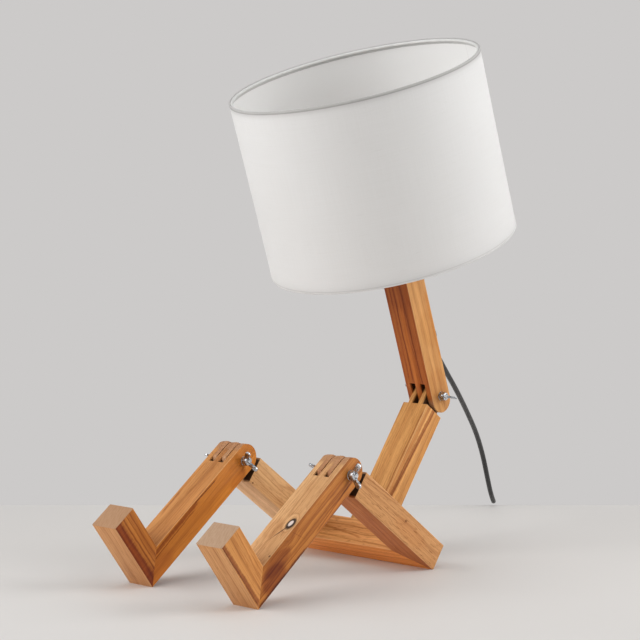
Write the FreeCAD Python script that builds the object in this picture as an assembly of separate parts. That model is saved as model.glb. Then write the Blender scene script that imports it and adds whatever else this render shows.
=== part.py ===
import FreeCAD, Part
import math
import os
from FreeCAD import Placement, Rotation, Vector

# Robot shaped desk lamp: a figure of square beams that sits on the table, with a drum shade for a head
# Millimetres. X runs across the lamp, the toes point to -Y, Z is up from the table
# The origin is on the table, at the middle of the crossbar's lower rear edge

# Beams
beam_width = 35.0
beam_depth = 30.0
edge_round = 1.0
stance_width = 186.0
leg_tilt = 36.5
leg_length = 174.3
foot_length = 82.9
torso_height = 170.0
neck_length = 184.0
neck_lean = 19.1
table_flat = 0.5

# Finger hinges at the knees and at the neck
leaf_count = 5
leaf_gap = 0.2
leaf_play = 1.3
leaf_offset = 4.0
shoulder_gap = 1.0
leaf_end_room = 0.6
hinge_clearance = 0.08

# Wing screws, wing nuts and washers
screw_radius = 2.5
nut_clearance = 0.05
wing_hub_radius = 5.2
wing_hub_top_radius = 4.3
wing_hub_height = 6.5
wing_span = 26.0
wing_height = 13.0
wing_thickness = 2.4
wing_tip_radius = 3.0
wing_root_height = 1.2
wing_root_inset = 1.0
thread_end = 0.8
washer_radius = 5.2
washer_thickness = 1.0
washer_clearance = 0.15
left_nut_turn, left_screw_turn = 0.0, 51.5
right_nut_turn, right_screw_turn = 33.4, 75.0
neck_nut_turn, neck_screw_turn = 78.0, 20.0

# Dowels in the glued joints
dowel_radius = 3.0
dowel_length = 26.0
dowel_chamfer = 0.8
dowel_clearance = 0.05
dowel_end_room = 0.5
mitre_dowel_spacing = 14.0
torso_dowel_spacing = 17.0

# Flex and its way through the neck
cord_radius = 3.0
exit_height = 100.0
exit_slope = 25.0
bore_radius = 4.5
inner_bend_radius = 40.0
gland_length = 28.0
gland_inside = 12.0
gland_root_radius = 5.2
gland_tip_radius = 3.9
gland_clearance = 0.05
run_from_gland = 13.0
run_into_switch = 12.0
bend_share = 0.45

# Lamp holder, measured up from the top of the neck
holder_forward = 5.0
nipple_radius = 5.0
nipple_bore_radius = 3.4
nipple_length = 28.0
nipple_depth = 18.0
cap_radius = 20.0
cap_height = 20.0
cap_wall = 2.2
cap_corner = 5.0
joint_overlap = 6.0
holder_gap = 0.1
body_radius = 19.5
body_wall = 2.4
body_height = 36.0
core_height = 10.0
sleeve_wall = 0.5
sleeve_height = 28.0
contact_radius = 5.0
contact_top_radius = 3.5
contact_height = 2.0
ring_radius = 27.0
ring_height = 5.0
ring_notch_count = 10
ring_notch_radius = 2.4
ring_notch_outset = 0.8
ring_level = 26.0

# Bulb
bulb_radius = 30.0
bulb_length = 110.0
bulb_neck_radius = 12.4
bulb_wall = 0.8
bulb_cap_radius = 13.2
bulb_cap_height = 26.0
bulb_cap_tip_radius = 4.5
bulb_cap_taper = 5.0
bulb_blend_height = 30.0

# Shade
shade_radius = 137.0
shade_wall = 1.2
shade_bottom = 177.2
shade_height = 199.2
wire_radius = 1.5
wire_inset = 0.6
wire_gap = 0.2
arm_count = 3
fitter_radius = 31.0
fitter_thickness = 2.0

# In-line switch
switch_length = 62.0
switch_width = 26.0
switch_end_width = 13.0
switch_height = 18.0
switch_split = 8.0
switch_shoulder = 15.5
switch_bulge = 1.6
switch_round = 3.0
switch_entry_radius = 4.6
switch_entry_length = 3.0
rocker_length = 18.0
rocker_width = 9.6
rocker_gap = 0.25
rocker_travel = 14.0
rocker_pivot = 14.5
rocker_rise = 4.0
rocker_keel = 4.0
rocker_pin_radius = 1.2
rocker_pin_length = 1.4
rocker_pin_clearance = 0.06
cheek_thickness = 2.0
switch_wall = 2.0
switch_screw_radius = 1.3
switch_screw_head = 2.6
switch_screw_length = 12.0
switch_screw_x = 8.0
switch_screw_y = 16.0

# Plug
plug_length = 33.0
plug_width = 35.3
plug_thickness = 13.7
plug_round = 5.5
plug_entry = 10.2
plug_entry_round = 4.5
plug_waist = 22.8
plug_waist_thickness = 11.6
plug_shoulder = 28.0
pin_tip_round = 1.2
pin_radius = 2.0
pin_length = 19.0
pin_root_radius = 1.5
pin_depth = 8.0
pin_spacing = 18.6

# Where the flex lies, on and above the table
touch_down = Vector(-110.0, 373.0, 0.0)
floor_heading = 133.0
switch_after_touch = 44.0
coil_after_switch = 40.0
lead_in = 10.0
coil_inner_radius = 25.0
turn_gap = 0.6
layer_half_turns = 5
tail_length = 44.0
tail_straight = 12.0
gap_sample = 3.0
floor_gap = 0.05

# Worked out from the sizes above
leaf_width = beam_width / leaf_count
leaf_radius = beam_depth / 2
shoulder_distance = leaf_radius + leaf_offset + shoulder_gap
hinge_hole_radius = screw_radius + hinge_clearance
screw_length = beam_width + 2 * washer_thickness + wing_hub_height + thread_end
leg_x = (stance_width - beam_width) / 2
far = 4 * leg_length
x_axis, z_axis = Vector(1, 0, 0), Vector(0, 0, 1)
flat_shift = table_flat / 2 * (1 / math.tan(math.radians(leg_tilt)) - math.tan(math.radians(leg_tilt)))
seat_frame = Placement(Vector(0, flat_shift, -table_flat), Rotation(x_axis, -leg_tilt))
knee_centre = seat_frame.multVec(Vector(0, -leg_length, beam_depth / 2))
neck_centre = seat_frame.multVec(Vector(0, -beam_width / 2, beam_depth + torso_height))
neck_frame = Placement(neck_centre, Rotation(x_axis, neck_lean))
holder_frame = neck_frame.multiply(Placement(Vector(0, -holder_forward, neck_length), Rotation()))
cord_area = math.pi * cord_radius ** 2
pitch = 2 * cord_radius + turn_gap
cord_level = cord_radius + floor_gap


def leg_frame(side):
    # Origin on the knee's axis, +Z up the shin, the foot towards -Y
    centre = Vector(side * leg_x, knee_centre.y, knee_centre.z)
    return Placement(centre, Rotation(x_axis, leg_tilt - 90))


def moved(shape, frame):
    copy = shape.copy()
    copy.Placement = frame.multiply(copy.Placement)
    return copy


def group(shapes):
    return Part.makeCompound(shapes)


def save(name, shape):
    shape.exportStep("parts/" + name + ".step")


def box(x0, x1, y0, y1, z0, z1):
    return Part.makeBox(x1 - x0, y1 - y0, z1 - z0, Vector(x0, y0, z0))


def rod(radius, start, end):
    along = end - start
    return Part.makeCylinder(radius, along.Length, start, along)


def prism(points, depth):
    return Part.Face(Part.makePolygon(points + points[:1])).extrude(depth)


def turned(points):
    # A profile of (radius, height) points turned about the Z axis
    wire = Part.makePolygon([Vector(r, 0, z) for r, z in points + points[:1]])
    return Part.Face(wire).revolve(Vector(), z_axis, 360)


# Beams
def rounded_box(x0, x1, y0, y1, z0, z1, along):
    # A bar whose long edges are eased, its length runs along the given axis
    bar = box(x0, x1, y0, y1, z0, z1)
    long_edges = [e for e in bar.Edges if abs(e.tangentAt(e.FirstParameter).dot(along)) > 0.9]
    return bar.makeFillet(edge_round, long_edges)


def beam(z0, z1):
    return rounded_box(-beam_width / 2, beam_width / 2, -beam_depth / 2, beam_depth / 2, z0, z1, z_axis)


def leaf_edge(index):
    return -beam_width / 2 + index * leaf_width


def knuckle(shape, cut_leaves, offset=0.0, radius=leaf_radius, play=0.0):
    # The end of a beam that lies below the hinge axis: leaves are cut free, rounded and bored
    # The round end's middle lies beyond the axis, and leaves that stay are thinner on their +X side
    for index in cut_leaves:
        x0, x1 = leaf_edge(index) - leaf_gap / 2 - play, leaf_edge(index + 1) + leaf_gap / 2
        if index == 0:
            x0 = -beam_width
        if index == leaf_count - 1:
            x1 = beam_width
        shape = shape.cut(box(x0, x1, -beam_depth, beam_depth, -shoulder_distance, beam_depth))
    start, end = Vector(-beam_width, 0, 0), Vector(beam_width, 0, 0)
    rise = z_axis * offset
    round_waste = box(-beam_width, beam_width, -beam_depth, beam_depth, offset, beam_depth)
    round_waste = round_waste.cut(rod(radius, start + rise, end + rise))
    return shape.cut(round_waste).cut(rod(hinge_hole_radius, start, end))


def inner_leaves():
    return [i for i in range(leaf_count) if i % 2]


def outer_leaves():
    return [i for i in range(leaf_count) if not i % 2]


def dowel_pair(middle, direction, spread, bore=False):
    # Two dowels across a joint, or the bores for them
    radius = dowel_radius + (dowel_clearance if bore else 0)
    half = dowel_length / 2 + (dowel_end_room if bore else 0)
    unit = direction.normalize()
    shapes = []
    for side in (-1, 1):
        centre = middle + spread * (side / 2)
        pin = rod(radius, centre - unit * half, centre + unit * half)
        if not bore:
            rims = [e for e in pin.Edges if len(e.Vertexes) == 1]
            pin = pin.makeChamfer(dowel_chamfer, rims)
        shapes.append(pin)
    return group(shapes)


def hip_dowels(side, bore=False):
    middle = Vector(side * leg_x, -beam_width / 2, beam_depth / 2)
    return dowel_pair(middle, Vector(-side, 1, 0), Vector(0, 0, mitre_dowel_spacing), bore)


def torso_dowels(bore=False):
    middle = Vector(0, -beam_width / 2, beam_depth)
    return dowel_pair(middle, Vector(0, 0, 1), Vector(torso_dowel_spacing, 0, 0), bore)


def foot_dowels(bore=False):
    middle = Vector(0, 0, -leg_length + beam_depth / 2)
    return dowel_pair(middle, Vector(0, 1, 1), Vector(mitre_dowel_spacing, 0, 0), bore)


def planed(shape):
    # The edges that stand on the table are planed flat
    return shape.cut(box(-far, far, -far, far, -far, 0))


def make_crossbar():
    half, inner = stance_width / 2, stance_width / 2 - beam_width
    bar = rounded_box(-half, half, -beam_width, 0, 0, beam_depth, x_axis)
    corners = [(-half, 0), (half, 0), (inner, -beam_width), (-inner, -beam_width)]
    bar = bar.common(prism([Vector(x, y, 0) for x, y in corners], Vector(0, 0, beam_depth)))
    for side in (-1, 1):
        bar = bar.cut(hip_dowels(side, True))
    return planed(moved(bar.cut(torso_dowels(True)), seat_frame))


def make_thigh(side):
    # Its leaves end flush with the shin's front face while the lamp sits
    bar = knuckle(beam(-leg_length, beam_depth), outer_leaves(), 0, shoulder_distance - leaf_end_room, leaf_play)
    waste = box(-beam_width, beam_width, -beam_width, beam_width, beam_depth / 2, beam_width)
    bar = bar.cut(moved(waste, Placement(Vector(), Rotation(x_axis, 2 * leg_tilt - 90))))
    bar = moved(bar, Placement(Vector(side * leg_x, -leg_length, beam_depth / 2), Rotation(x_axis, 90)))
    outer, inner = side * stance_width / 2, side * (stance_width / 2 - beam_width)
    corners = [(outer, 0), (outer, -far), (inner, -far), (inner, -beam_width)]
    bar = bar.common(prism([Vector(x, y, 0) for x, y in corners], Vector(0, 0, beam_depth)))
    return planed(moved(bar.cut(hip_dowels(side, True)), seat_frame))


def make_torso():
    bar = knuckle(beam(-torso_height, beam_depth), outer_leaves(), play=leaf_play)
    bar.translate(Vector(0, -beam_width / 2, beam_depth + torso_height))
    return moved(bar.cut(torso_dowels(True)), seat_frame)


def make_shin(side):
    bar = knuckle(beam(-leg_length, beam_depth), inner_leaves(), leaf_offset)
    back, front, heel = beam_depth / 2, -beam_depth / 2, -leg_length
    corners = [(back, heel), (back, far), (front, far), (front, heel + beam_depth)]
    keep = prism([Vector(-beam_width, y, z) for y, z in corners], Vector(2 * beam_width, 0, 0))
    return planed(moved(bar.common(keep).cut(foot_dowels(True)), leg_frame(side)))


def make_foot(side):
    back, front, heel = beam_depth / 2, -beam_depth / 2, -leg_length
    bar = moved(beam(0, foot_length), Placement(Vector(0, back, heel + back), Rotation(x_axis, 90)))
    toe = back - foot_length
    corners = [(back, heel), (front, heel + beam_depth), (toe, heel + beam_depth), (toe, heel)]
    keep = prism([Vector(-beam_width, y, z) for y, z in corners], Vector(2 * beam_width, 0, 0))
    return planed(moved(bar.common(keep).cut(foot_dowels(True)), leg_frame(side)))


def exit_point():
    return Vector(0, beam_depth / 2, exit_height)


def exit_direction():
    slope = math.radians(exit_slope)
    return Vector(0, math.sin(slope), -math.cos(slope))


def bend_point():
    # Where the slanting cord hole meets the hole down the neck
    reach = (beam_depth / 2 + holder_forward) / exit_direction().y
    return exit_point() - exit_direction() * reach


def make_neck():
    bar = moved(knuckle(beam(-neck_length, beam_depth), inner_leaves(), leaf_offset),
                Placement(Vector(), Rotation(x_axis, 180)))
    top = Vector(0, -holder_forward, neck_length)
    bar = bar.cut(rod(bore_radius, bend_point(), top))
    bar = bar.cut(rod(bore_radius, bend_point(), exit_point() + exit_direction() * beam_depth))
    bar = bar.cut(Part.makeSphere(bore_radius, bend_point()))
    return moved(bar.cut(rod(nipple_radius, top - z_axis * nipple_depth, top)), neck_frame)


# Hinge screws
def tangent_point(point, centre, radius, side):
    # Where a line from the point touches the circle, in the XZ plane
    dx, dz = point.x - centre.x, point.z - centre.z
    angle = math.atan2(dz, dx) + side * math.acos(radius / math.hypot(dx, dz))
    return centre + Vector(math.cos(angle), 0, math.sin(angle)) * radius


def wing():
    tip = Vector(wing_height - wing_tip_radius, 0, wing_span / 2 - wing_tip_radius)
    foot = Vector(wing_root_height, 0, wing_hub_top_radius - wing_root_inset)
    root = Vector(wing_hub_height, 0, wing_hub_top_radius - wing_root_inset)
    low = tangent_point(foot, tip, wing_tip_radius, -1)
    high = tangent_point(root, tip, wing_tip_radius, 1)
    crown = tip + (tip - foot).normalize() * wing_tip_radius
    edges = [Part.LineSegment(root, foot), Part.LineSegment(foot, low),
             Part.Arc(low, crown, high), Part.LineSegment(high, root)]
    outline = Part.Wire([e.toShape() for e in edges])
    outline.translate(Vector(0, -wing_thickness / 2, 0))
    return Part.Face(outline).extrude(Vector(0, wing_thickness, 0))


def wing_head():
    # Hub and two wings on the +X side of a bearing face at x = 0
    head = Part.makeCone(wing_hub_radius, wing_hub_top_radius, wing_hub_height, Vector(), x_axis)
    for turn in (0, 180):
        head = head.fuse(moved(wing(), Placement(Vector(), Rotation(x_axis, turn))))
    return head.removeSplitter()


def hinge_hardware(name, centre, nut_turn, screw_turn):
    # Wing screw from the -X side, wing nut on the +X side and a washer under each
    reach = beam_width / 2 + washer_thickness
    head = wing_head().fuse(rod(screw_radius, Vector(), Vector(-screw_length, 0, 0)))
    head = moved(head.removeSplitter(), Placement(Vector(), Rotation(z_axis, 180)))
    save(name + "_screw", moved(head, Placement(centre - x_axis * reach, Rotation(x_axis, screw_turn))))
    bore = rod(screw_radius + nut_clearance, Vector(-1, 0, 0), Vector(wing_height, 0, 0))
    nut = wing_head().cut(bore)
    save(name + "_nut", moved(nut, Placement(centre + x_axis * reach, Rotation(x_axis, nut_turn))))
    washers = []
    for start in (-reach, beam_width / 2):
        low, high = Vector(start, 0, 0), Vector(start + washer_thickness, 0, 0)
        washer = rod(washer_radius, low, high).cut(rod(screw_radius + washer_clearance, low, high))
        washers.append(moved(washer, Placement(centre, Rotation())))
    save(name + "_washers", group(washers))


# Flex
def rounded_route(points):
    # Straight runs joined by tangent arcs, each as large as its two runs allow
    edges, radii, start = [], [], points[0]
    for before, corner, after in zip(points, points[1:], points[2:]):
        back, ahead = before - corner, after - corner
        turn = math.pi - back.getAngle(ahead)
        reach = bend_share * min(back.Length, ahead.Length)
        radius = reach / math.tan(turn / 2)
        back.normalize()
        ahead.normalize()
        middle = (back + ahead).normalize() * (radius / math.cos(turn / 2) - radius)
        edges.append(Part.LineSegment(start, corner + back * reach).toShape())
        arc = Part.Arc(corner + back * reach, corner + middle, corner + ahead * reach)
        edges.append(arc.toShape())
        start = corner + ahead * reach
        radii.append(radius)
    edges.append(Part.LineSegment(start, points[-1]).toShape())
    return edges, radii


def tube(edges):
    path = Part.Wire(edges)
    start = edges[0].Vertexes[0].Point
    direction = edges[0].tangentAt(edges[0].FirstParameter)
    ring = Part.Wire(Part.makeCircle(cord_radius, start, direction))
    shell = Part.BRepOffsetAPI.MakePipeShell(path)
    shell.add(ring)
    shell.build()
    shell.makeSolid()
    return shell.shape()


def report_tube(name, solid, edges):
    length = sum(e.Length for e in edges)
    print(name, "length", round(length, 1), "volume over section x length",
          round(solid.Volume / (cord_area * length), 4))
    return length


def gland_tip():
    return neck_frame.multVec(exit_point() + exit_direction() * gland_length)


def heading(degrees):
    return Vector(math.cos(math.radians(degrees)), math.sin(math.radians(degrees)), 0)


def switch_frame():
    along = switch_after_touch + switch_length / 2 + switch_entry_length
    return Placement(touch_down + heading(floor_heading) * along, Rotation(z_axis, floor_heading - 90))


def lead_points():
    # From the gland down to the table and on to the switch, chosen by eye
    tip = gland_tip()
    out = neck_frame.Rotation.multVec(exit_direction())
    entry = switch_frame().multVec(Vector(0, -switch_length / 2 - switch_entry_length, switch_split))
    return [tip,
            tip + out * run_from_gland,
            Vector(-6, 124, 230),
            Vector(-14.5, 139, 214),
            Vector(-25.5, 165.5, 192.5),
            Vector(-39.5, 205, 164),
            Vector(-57, 246, 135),
            Vector(-75, 288, 103),
            Vector(-86.5, 316, 71),
            Vector(-94, 334.5, 41.5),
            Vector(-99.5, 347.5, 22.5),
            Vector(-105, 359.5, 10.5),
            Vector(-111, 370, 4.8),
            Vector(-120, 380.5, cord_level),
            entry - heading(floor_heading) * run_into_switch,
            entry]


def coil_frame():
    # Origin where the first half turn starts, +Y the way the flex runs in
    along = switch_length / 2 + switch_entry_length + coil_after_switch
    start = switch_frame().multVec(Vector(0, along, cord_level))
    return Placement(start, Rotation(z_axis, floor_heading - 90))


def half_turn(start, across, rise, forward):
    # Half a circle from the start to the start + across, which may climb on the way
    span = across + z_axis * rise
    middle = start + span / 2 + forward * (span.Length / 2)
    return Part.Arc(start, middle, start + span).toShape()


def coil_edges():
    # In along the lower layer, up in the innermost half turn and out again along the upper layer
    place = coil_frame()
    entry = switch_frame().multVec(Vector(0, switch_length / 2 + switch_entry_length, switch_split))
    along, left = heading(floor_heading), heading(floor_heading + 90)
    lead = [entry, entry + along * lead_in, place.Base - along * lead_in, place.Base]
    edges, radii = rounded_route(lead)
    steps = list(range(layer_half_turns, 0, -1)) + [0] + list(range(1, layer_half_turns + 1))
    point, side = place.Base, 1
    for step in steps:
        radius = coil_inner_radius + step * pitch / 2
        rise = 0 if step else pitch
        edge = half_turn(point, left * (side * 2 * radius), rise, along * side)
        edges.append(edge)
        point = point + left * (side * 2 * radius) + z_axis * rise
        side = -side
    tail = point + along * (side * tail_length)
    tail.z = plug_thickness / 2
    out = point + along * (side * tail_straight)
    into = tail - along * (side * tail_straight)
    last, tail_radii = rounded_route([point, out, into, tail])
    edges.extend(last)
    return edges, radii + tail_radii, tail, along * side


def least_gap(edges):
    # Least gap between stretches of the coil that are more than half a turn apart along it
    wire_length = sum(e.Length for e in edges)
    count = int(wire_length / gap_sample)
    points = []
    for edge in edges:
        steps = max(1, round(count * edge.Length / wire_length))
        points += edge.discretize(Number=steps + 1)[:-1]
    apart = int(2.5 * coil_inner_radius / gap_sample)
    least = min(points[i].distanceToPoint(points[j])
                for i in range(len(points)) for j in range(i + apart, len(points)))
    return least - 2 * cord_radius


def make_neck_flex():
    # Flex inside the neck, from the lamp holder's core to the gland's tip
    bend, out = bend_point(), exit_direction()
    turn = math.radians(exit_slope)
    reach = inner_bend_radius * math.tan(turn / 2)
    sag = inner_bend_radius / math.cos(turn / 2) - inner_bend_radius
    middle = bend + (z_axis + out).normalize() * sag
    top = Vector(0, -holder_forward, neck_length + cap_height - joint_overlap)
    edges = [Part.LineSegment(top, bend + z_axis * reach).toShape(),
             Part.Arc(bend + z_axis * reach, middle, bend + out * reach).toShape(),
             Part.LineSegment(bend + out * reach, exit_point() + out * gland_length).toShape()]
    return edges


def make_gland():
    # The shoulder stands clear of the slanting mouth of its hole
    inner = cord_radius + gland_clearance
    plug = bore_radius - gland_clearance
    mouth = gland_root_radius / math.tan(math.radians(exit_slope))
    shape = turned([(inner, -gland_inside), (plug, -gland_inside), (plug, mouth), (gland_root_radius, mouth),
                    (gland_tip_radius, gland_length), (inner, gland_length)])
    axis = Rotation(z_axis, exit_direction())
    return moved(moved(shape, Placement(exit_point(), axis)), neck_frame)


# Lamp holder and bulb, in the holder's frame
def make_nipple():
    tube_shape = rod(nipple_radius, -z_axis * nipple_depth, z_axis * (nipple_length - nipple_depth))
    bore = rod(nipple_bore_radius, -z_axis * far, z_axis * far)
    return tube_shape.cut(bore)


def make_holder_cap():
    inner, corner = cap_radius - cap_wall, cap_radius - cap_corner
    return turned([(nipple_radius, 0), (corner, 0), (cap_radius, cap_corner), (cap_radius, cap_height),
                   (inner, cap_height), (inner, cap_corner + cap_wall / 2),
                   (corner - cap_wall / 2, cap_wall), (nipple_radius, cap_wall)])


def make_holder_core():
    level, radius = cap_height - joint_overlap, cap_radius - 2 * cap_wall - 2 * holder_gap
    core = rod(radius, z_axis * level, z_axis * (level + core_height))
    return core.cut(rod(bulb_cap_tip_radius / 2, z_axis * level, z_axis * (level + core_height)))


def make_holder_body():
    inner, skirt = body_radius - body_wall, cap_radius - cap_wall - holder_gap
    seat, top = cap_height - joint_overlap, cap_height + body_height
    core = cap_radius - 2 * cap_wall - holder_gap
    return turned([(core, seat), (skirt, seat), (skirt, cap_height), (body_radius, cap_height),
                   (body_radius, top), (inner, top), (inner, seat + core_height), (core, seat + core_height)])


def make_holder_sleeve():
    inner = bulb_cap_radius + holder_gap
    base = cap_height - joint_overlap + core_height
    return turned([(inner, base), (inner + sleeve_wall, base),
                   (inner + sleeve_wall, base + sleeve_height), (inner, base + sleeve_height)])


def make_contact():
    base = cap_height - joint_overlap + core_height
    return turned([(0, base), (contact_radius, base), (contact_top_radius, base + contact_height),
                   (0, base + contact_height)])


def make_ring_nuts():
    shapes = []
    for level in (ring_level - ring_height, ring_level + fitter_thickness):
        ring = rod(ring_radius, z_axis * level, z_axis * (level + ring_height))
        ring = ring.cut(rod(body_radius + holder_gap, z_axis * level, z_axis * (level + ring_height)))
        for index in range(ring_notch_count):
            out = heading(360 * index / ring_notch_count) * (ring_radius + ring_notch_outset)
            ring = ring.cut(rod(ring_notch_radius, out + z_axis * level, out + z_axis * (level + ring_height)))
        shapes.append(ring)
    return group(shapes)


def bulb_base():
    return cap_height - joint_overlap + core_height + contact_height


def make_bulb_cap():
    base, top = bulb_base(), bulb_base() + bulb_cap_height
    inner, floor = bulb_neck_radius + holder_gap / 2, bulb_base() + bulb_cap_taper + bulb_wall * 2
    return turned([(0, base), (bulb_cap_tip_radius, base), (bulb_cap_radius, base + bulb_cap_taper),
                   (bulb_cap_radius, top), (inner, top), (inner, floor), (0, floor)])


def glass_profile(inset):
    # One side of the glass: straight neck, hollow shoulder, round crown
    globe, neck = bulb_radius - inset, bulb_neck_radius - inset
    centre_z = bulb_base() + bulb_length - bulb_radius
    blend_z = bulb_base() + bulb_blend_height
    drop = centre_z - blend_z
    blend = (drop ** 2 - globe ** 2 + neck ** 2) / (2 * (globe - neck))
    centre, hollow = Vector(0, 0, centre_z), Vector(neck + blend, 0, blend_z)
    meet = centre + (hollow - centre).normalize() * globe
    start_angle = math.atan2(meet.z - hollow.z, meet.x - hollow.x)
    mid_angle = (start_angle + math.pi) / 2
    hollow_mid = hollow + Vector(math.cos(mid_angle), 0, math.sin(mid_angle)) * blend
    rise = (math.atan2(meet.z - centre_z, meet.x) + math.pi / 2) / 2
    crown_mid = centre + Vector(math.cos(rise), 0, math.sin(rise)) * globe
    foot = Vector(neck, 0, bulb_base() + bulb_cap_taper + bulb_wall * 3)
    start, crown = Vector(neck, 0, blend_z), centre + z_axis * globe
    edges = [Part.LineSegment(foot, start), Part.Arc(start, hollow_mid, meet), Part.Arc(meet, crown_mid, crown)]
    return [e.toShape() for e in edges], foot, crown


def make_bulb_glass():
    outer, outer_foot, outer_crown = glass_profile(0)
    inner, inner_foot, inner_crown = glass_profile(bulb_wall)
    caps = [Part.LineSegment(outer_crown, inner_crown).toShape(), Part.LineSegment(inner_foot, outer_foot).toShape()]
    outline = Part.Wire(Part.__sortEdges__(outer + inner + caps))
    return Part.Face(outline).revolve(Vector(), z_axis, 360)


# Shade, in the holder's frame, whose origin is neck_length above the hinge
def shade_low():
    return shade_bottom - neck_length


def make_shade_cover():
    low, high = shade_low(), shade_low() + shade_height
    inner = shade_radius - shade_wall
    return turned([(inner, low), (shade_radius, low), (shade_radius, high), (inner, high)])


def wire_ring(level):
    return Part.makeTorus(shade_radius - shade_wall - wire_gap - wire_radius, wire_radius, Vector(0, 0, level))


def make_top_ring():
    return wire_ring(shade_low() + shade_height - wire_inset - wire_radius)


def make_carrier():
    # Fitter ring, three sloping arms and the lower wire ring, welded together
    low_level = shade_low() + wire_inset + wire_radius
    wire_centre = shade_radius - shade_wall - wire_gap - wire_radius
    fitter = rod(fitter_radius, z_axis * ring_level, z_axis * (ring_level + fitter_thickness))
    hole = rod(body_radius + holder_gap, z_axis * ring_level, z_axis * (ring_level + fitter_thickness))
    carrier = wire_ring(low_level).fuse(fitter.cut(hole))
    arm_level = ring_level + fitter_thickness / 2
    for index in range(arm_count):
        out = heading(90 + 360 * index / arm_count)
        root = out * (fitter_radius - wire_radius) + z_axis * arm_level
        arm = rod(wire_radius, root, out * wire_centre + z_axis * low_level)
        carrier = carrier.fuse(arm.fuse(Part.makeSphere(wire_radius, root)))
    return carrier.removeSplitter()


# In-line switch, lying along Y on the table
def switch_outline(inset):
    # Straight sides that draw in to narrow ends along tangent arcs
    half, end = switch_width / 2 - inset, switch_end_width / 2 - inset
    length, shoulder = switch_length / 2 - inset, switch_shoulder
    edges = []
    for side in (1, -1):
        corners = [Vector(half * side, -shoulder * side, 0), Vector(half * side, shoulder * side, 0),
                   Vector(end * side, length * side, 0), Vector(-end * side, length * side, 0)]
        bulge = (corners[1] + corners[2]) / 2 + Vector(side, side, 0) * switch_bulge
        edges += [Part.LineSegment(corners[0], corners[1]).toShape(),
                  Part.Arc(corners[1], bulge, corners[2]).toShape(),
                  Part.LineSegment(corners[2], corners[3]).toShape()]
        far_bulge = Vector(-bulge.x, bulge.y, 0)
        edges.append(Part.Arc(corners[3], far_bulge, Vector(-half * side, shoulder * side, 0)).toShape())
    return Part.Wire(edges)


def switch_block():
    block = Part.Face(switch_outline(0)).extrude(Vector(0, 0, switch_height))
    rim = [e for e in block.Edges if all(abs(v.Z - switch_height) < 0.01 for v in e.Vertexes)]
    block = block.makeFillet(switch_round, rim)
    for side in (-1, 1):
        inside = Vector(0, side * (switch_length / 2 - switch_wall), switch_split)
        end = Vector(0, side * (switch_length / 2 + switch_entry_length), switch_split)
        block = block.fuse(rod(switch_entry_radius, inside, end))
    return block.removeSplitter()


def screw_places():
    return [Vector(switch_screw_x, -switch_screw_y, 0), Vector(-switch_screw_x, switch_screw_y, 0)]


def make_switch_screws():
    shapes = []
    for place in screw_places():
        low = place + z_axis * switch_screw_head / 2
        head = rod(switch_screw_head, low, low + z_axis * switch_screw_head / 2)
        shapes.append(head.fuse(rod(switch_screw_radius, low, low + z_axis * switch_screw_length)))
    return group(shapes)


def screw_holes():
    holes = []
    for place in screw_places():
        low = place + z_axis * switch_screw_head / 2
        holes.append(rod(switch_screw_head, place, low + z_axis * switch_screw_head / 2))
        holes.append(rod(switch_screw_radius, low, low + z_axis * switch_screw_length))
    return group(holes)


def rocker_well():
    # Room for the rocker's keel below the window, between its two cheeks
    half_x = rocker_width / 2 + rocker_gap
    half_y = rocker_length / 2 + rocker_gap
    deep = rocker_pivot - rocker_length / 2 - rocker_gap
    return box(-half_x, half_x, -half_y, half_y, deep, switch_height)


def pivot_bore():
    reach = rocker_width / 2 + rocker_gap + cheek_thickness
    radius = rocker_pin_radius + rocker_pin_clearance
    return rod(radius, Vector(-reach, 0, rocker_pivot), Vector(reach, 0, rocker_pivot))


def make_switch_base():
    low = switch_block().common(box(-far, far, -far, far, 0, switch_split))
    return low.cut(rocker_well()).cut(screw_holes())


def make_switch_cover():
    high = switch_block().common(box(-far, far, -far, far, switch_split, switch_height))
    return high.cut(rocker_well()).cut(pivot_bore()).cut(screw_holes())


def make_rocker():
    # Round about its pin, with a flat keel and two finger faces that rise from the middle
    half = rocker_width / 2
    drum = rod(rocker_length / 2, Vector(-half, 0, 0), Vector(half, 0, 0))
    lift = rocker_length / 2 * math.tan(math.radians(rocker_travel / 2))
    crown = rocker_rise - lift
    outline = [(-rocker_length, crown + 2 * lift), (0, crown), (rocker_length, crown + 2 * lift),
               (rocker_length, -rocker_keel), (-rocker_length, -rocker_keel)]
    keep = prism([Vector(-half, y, z) for y, z in outline], Vector(rocker_width, 0, 0))
    pin_reach = half + rocker_pin_length
    pin = rod(rocker_pin_radius, Vector(-pin_reach, 0, 0), Vector(pin_reach, 0, 0))
    rocker = drum.common(keep).fuse(pin).removeSplitter()
    return moved(rocker, Placement(Vector(0, 0, rocker_pivot), Rotation(x_axis, -rocker_travel / 2)))


# Plug: entry at the origin, pins towards +Y, lying on the table
def rounded_section(width, height, corner, y):
    half_w, half_h = width / 2, height / 2
    edges = []
    corners = [(half_w, half_h, 0), (-half_w, half_h, 90), (-half_w, -half_h, 180), (half_w, -half_h, 270)]
    arcs = []
    for x, z, turn in corners:
        centre = Vector(x - math.copysign(corner, x), y, z - math.copysign(corner, z))
        arcs.append([centre + Vector(math.cos(math.radians(turn + a)), 0, math.sin(math.radians(turn + a)))
                     * corner for a in (0, 45, 90)])
    for arc, following in zip(arcs, arcs[1:] + arcs[:1]):
        edges += [Part.Arc(*arc).toShape(), Part.LineSegment(arc[2], following[0]).toShape()]
    return Part.Wire(edges)


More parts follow.
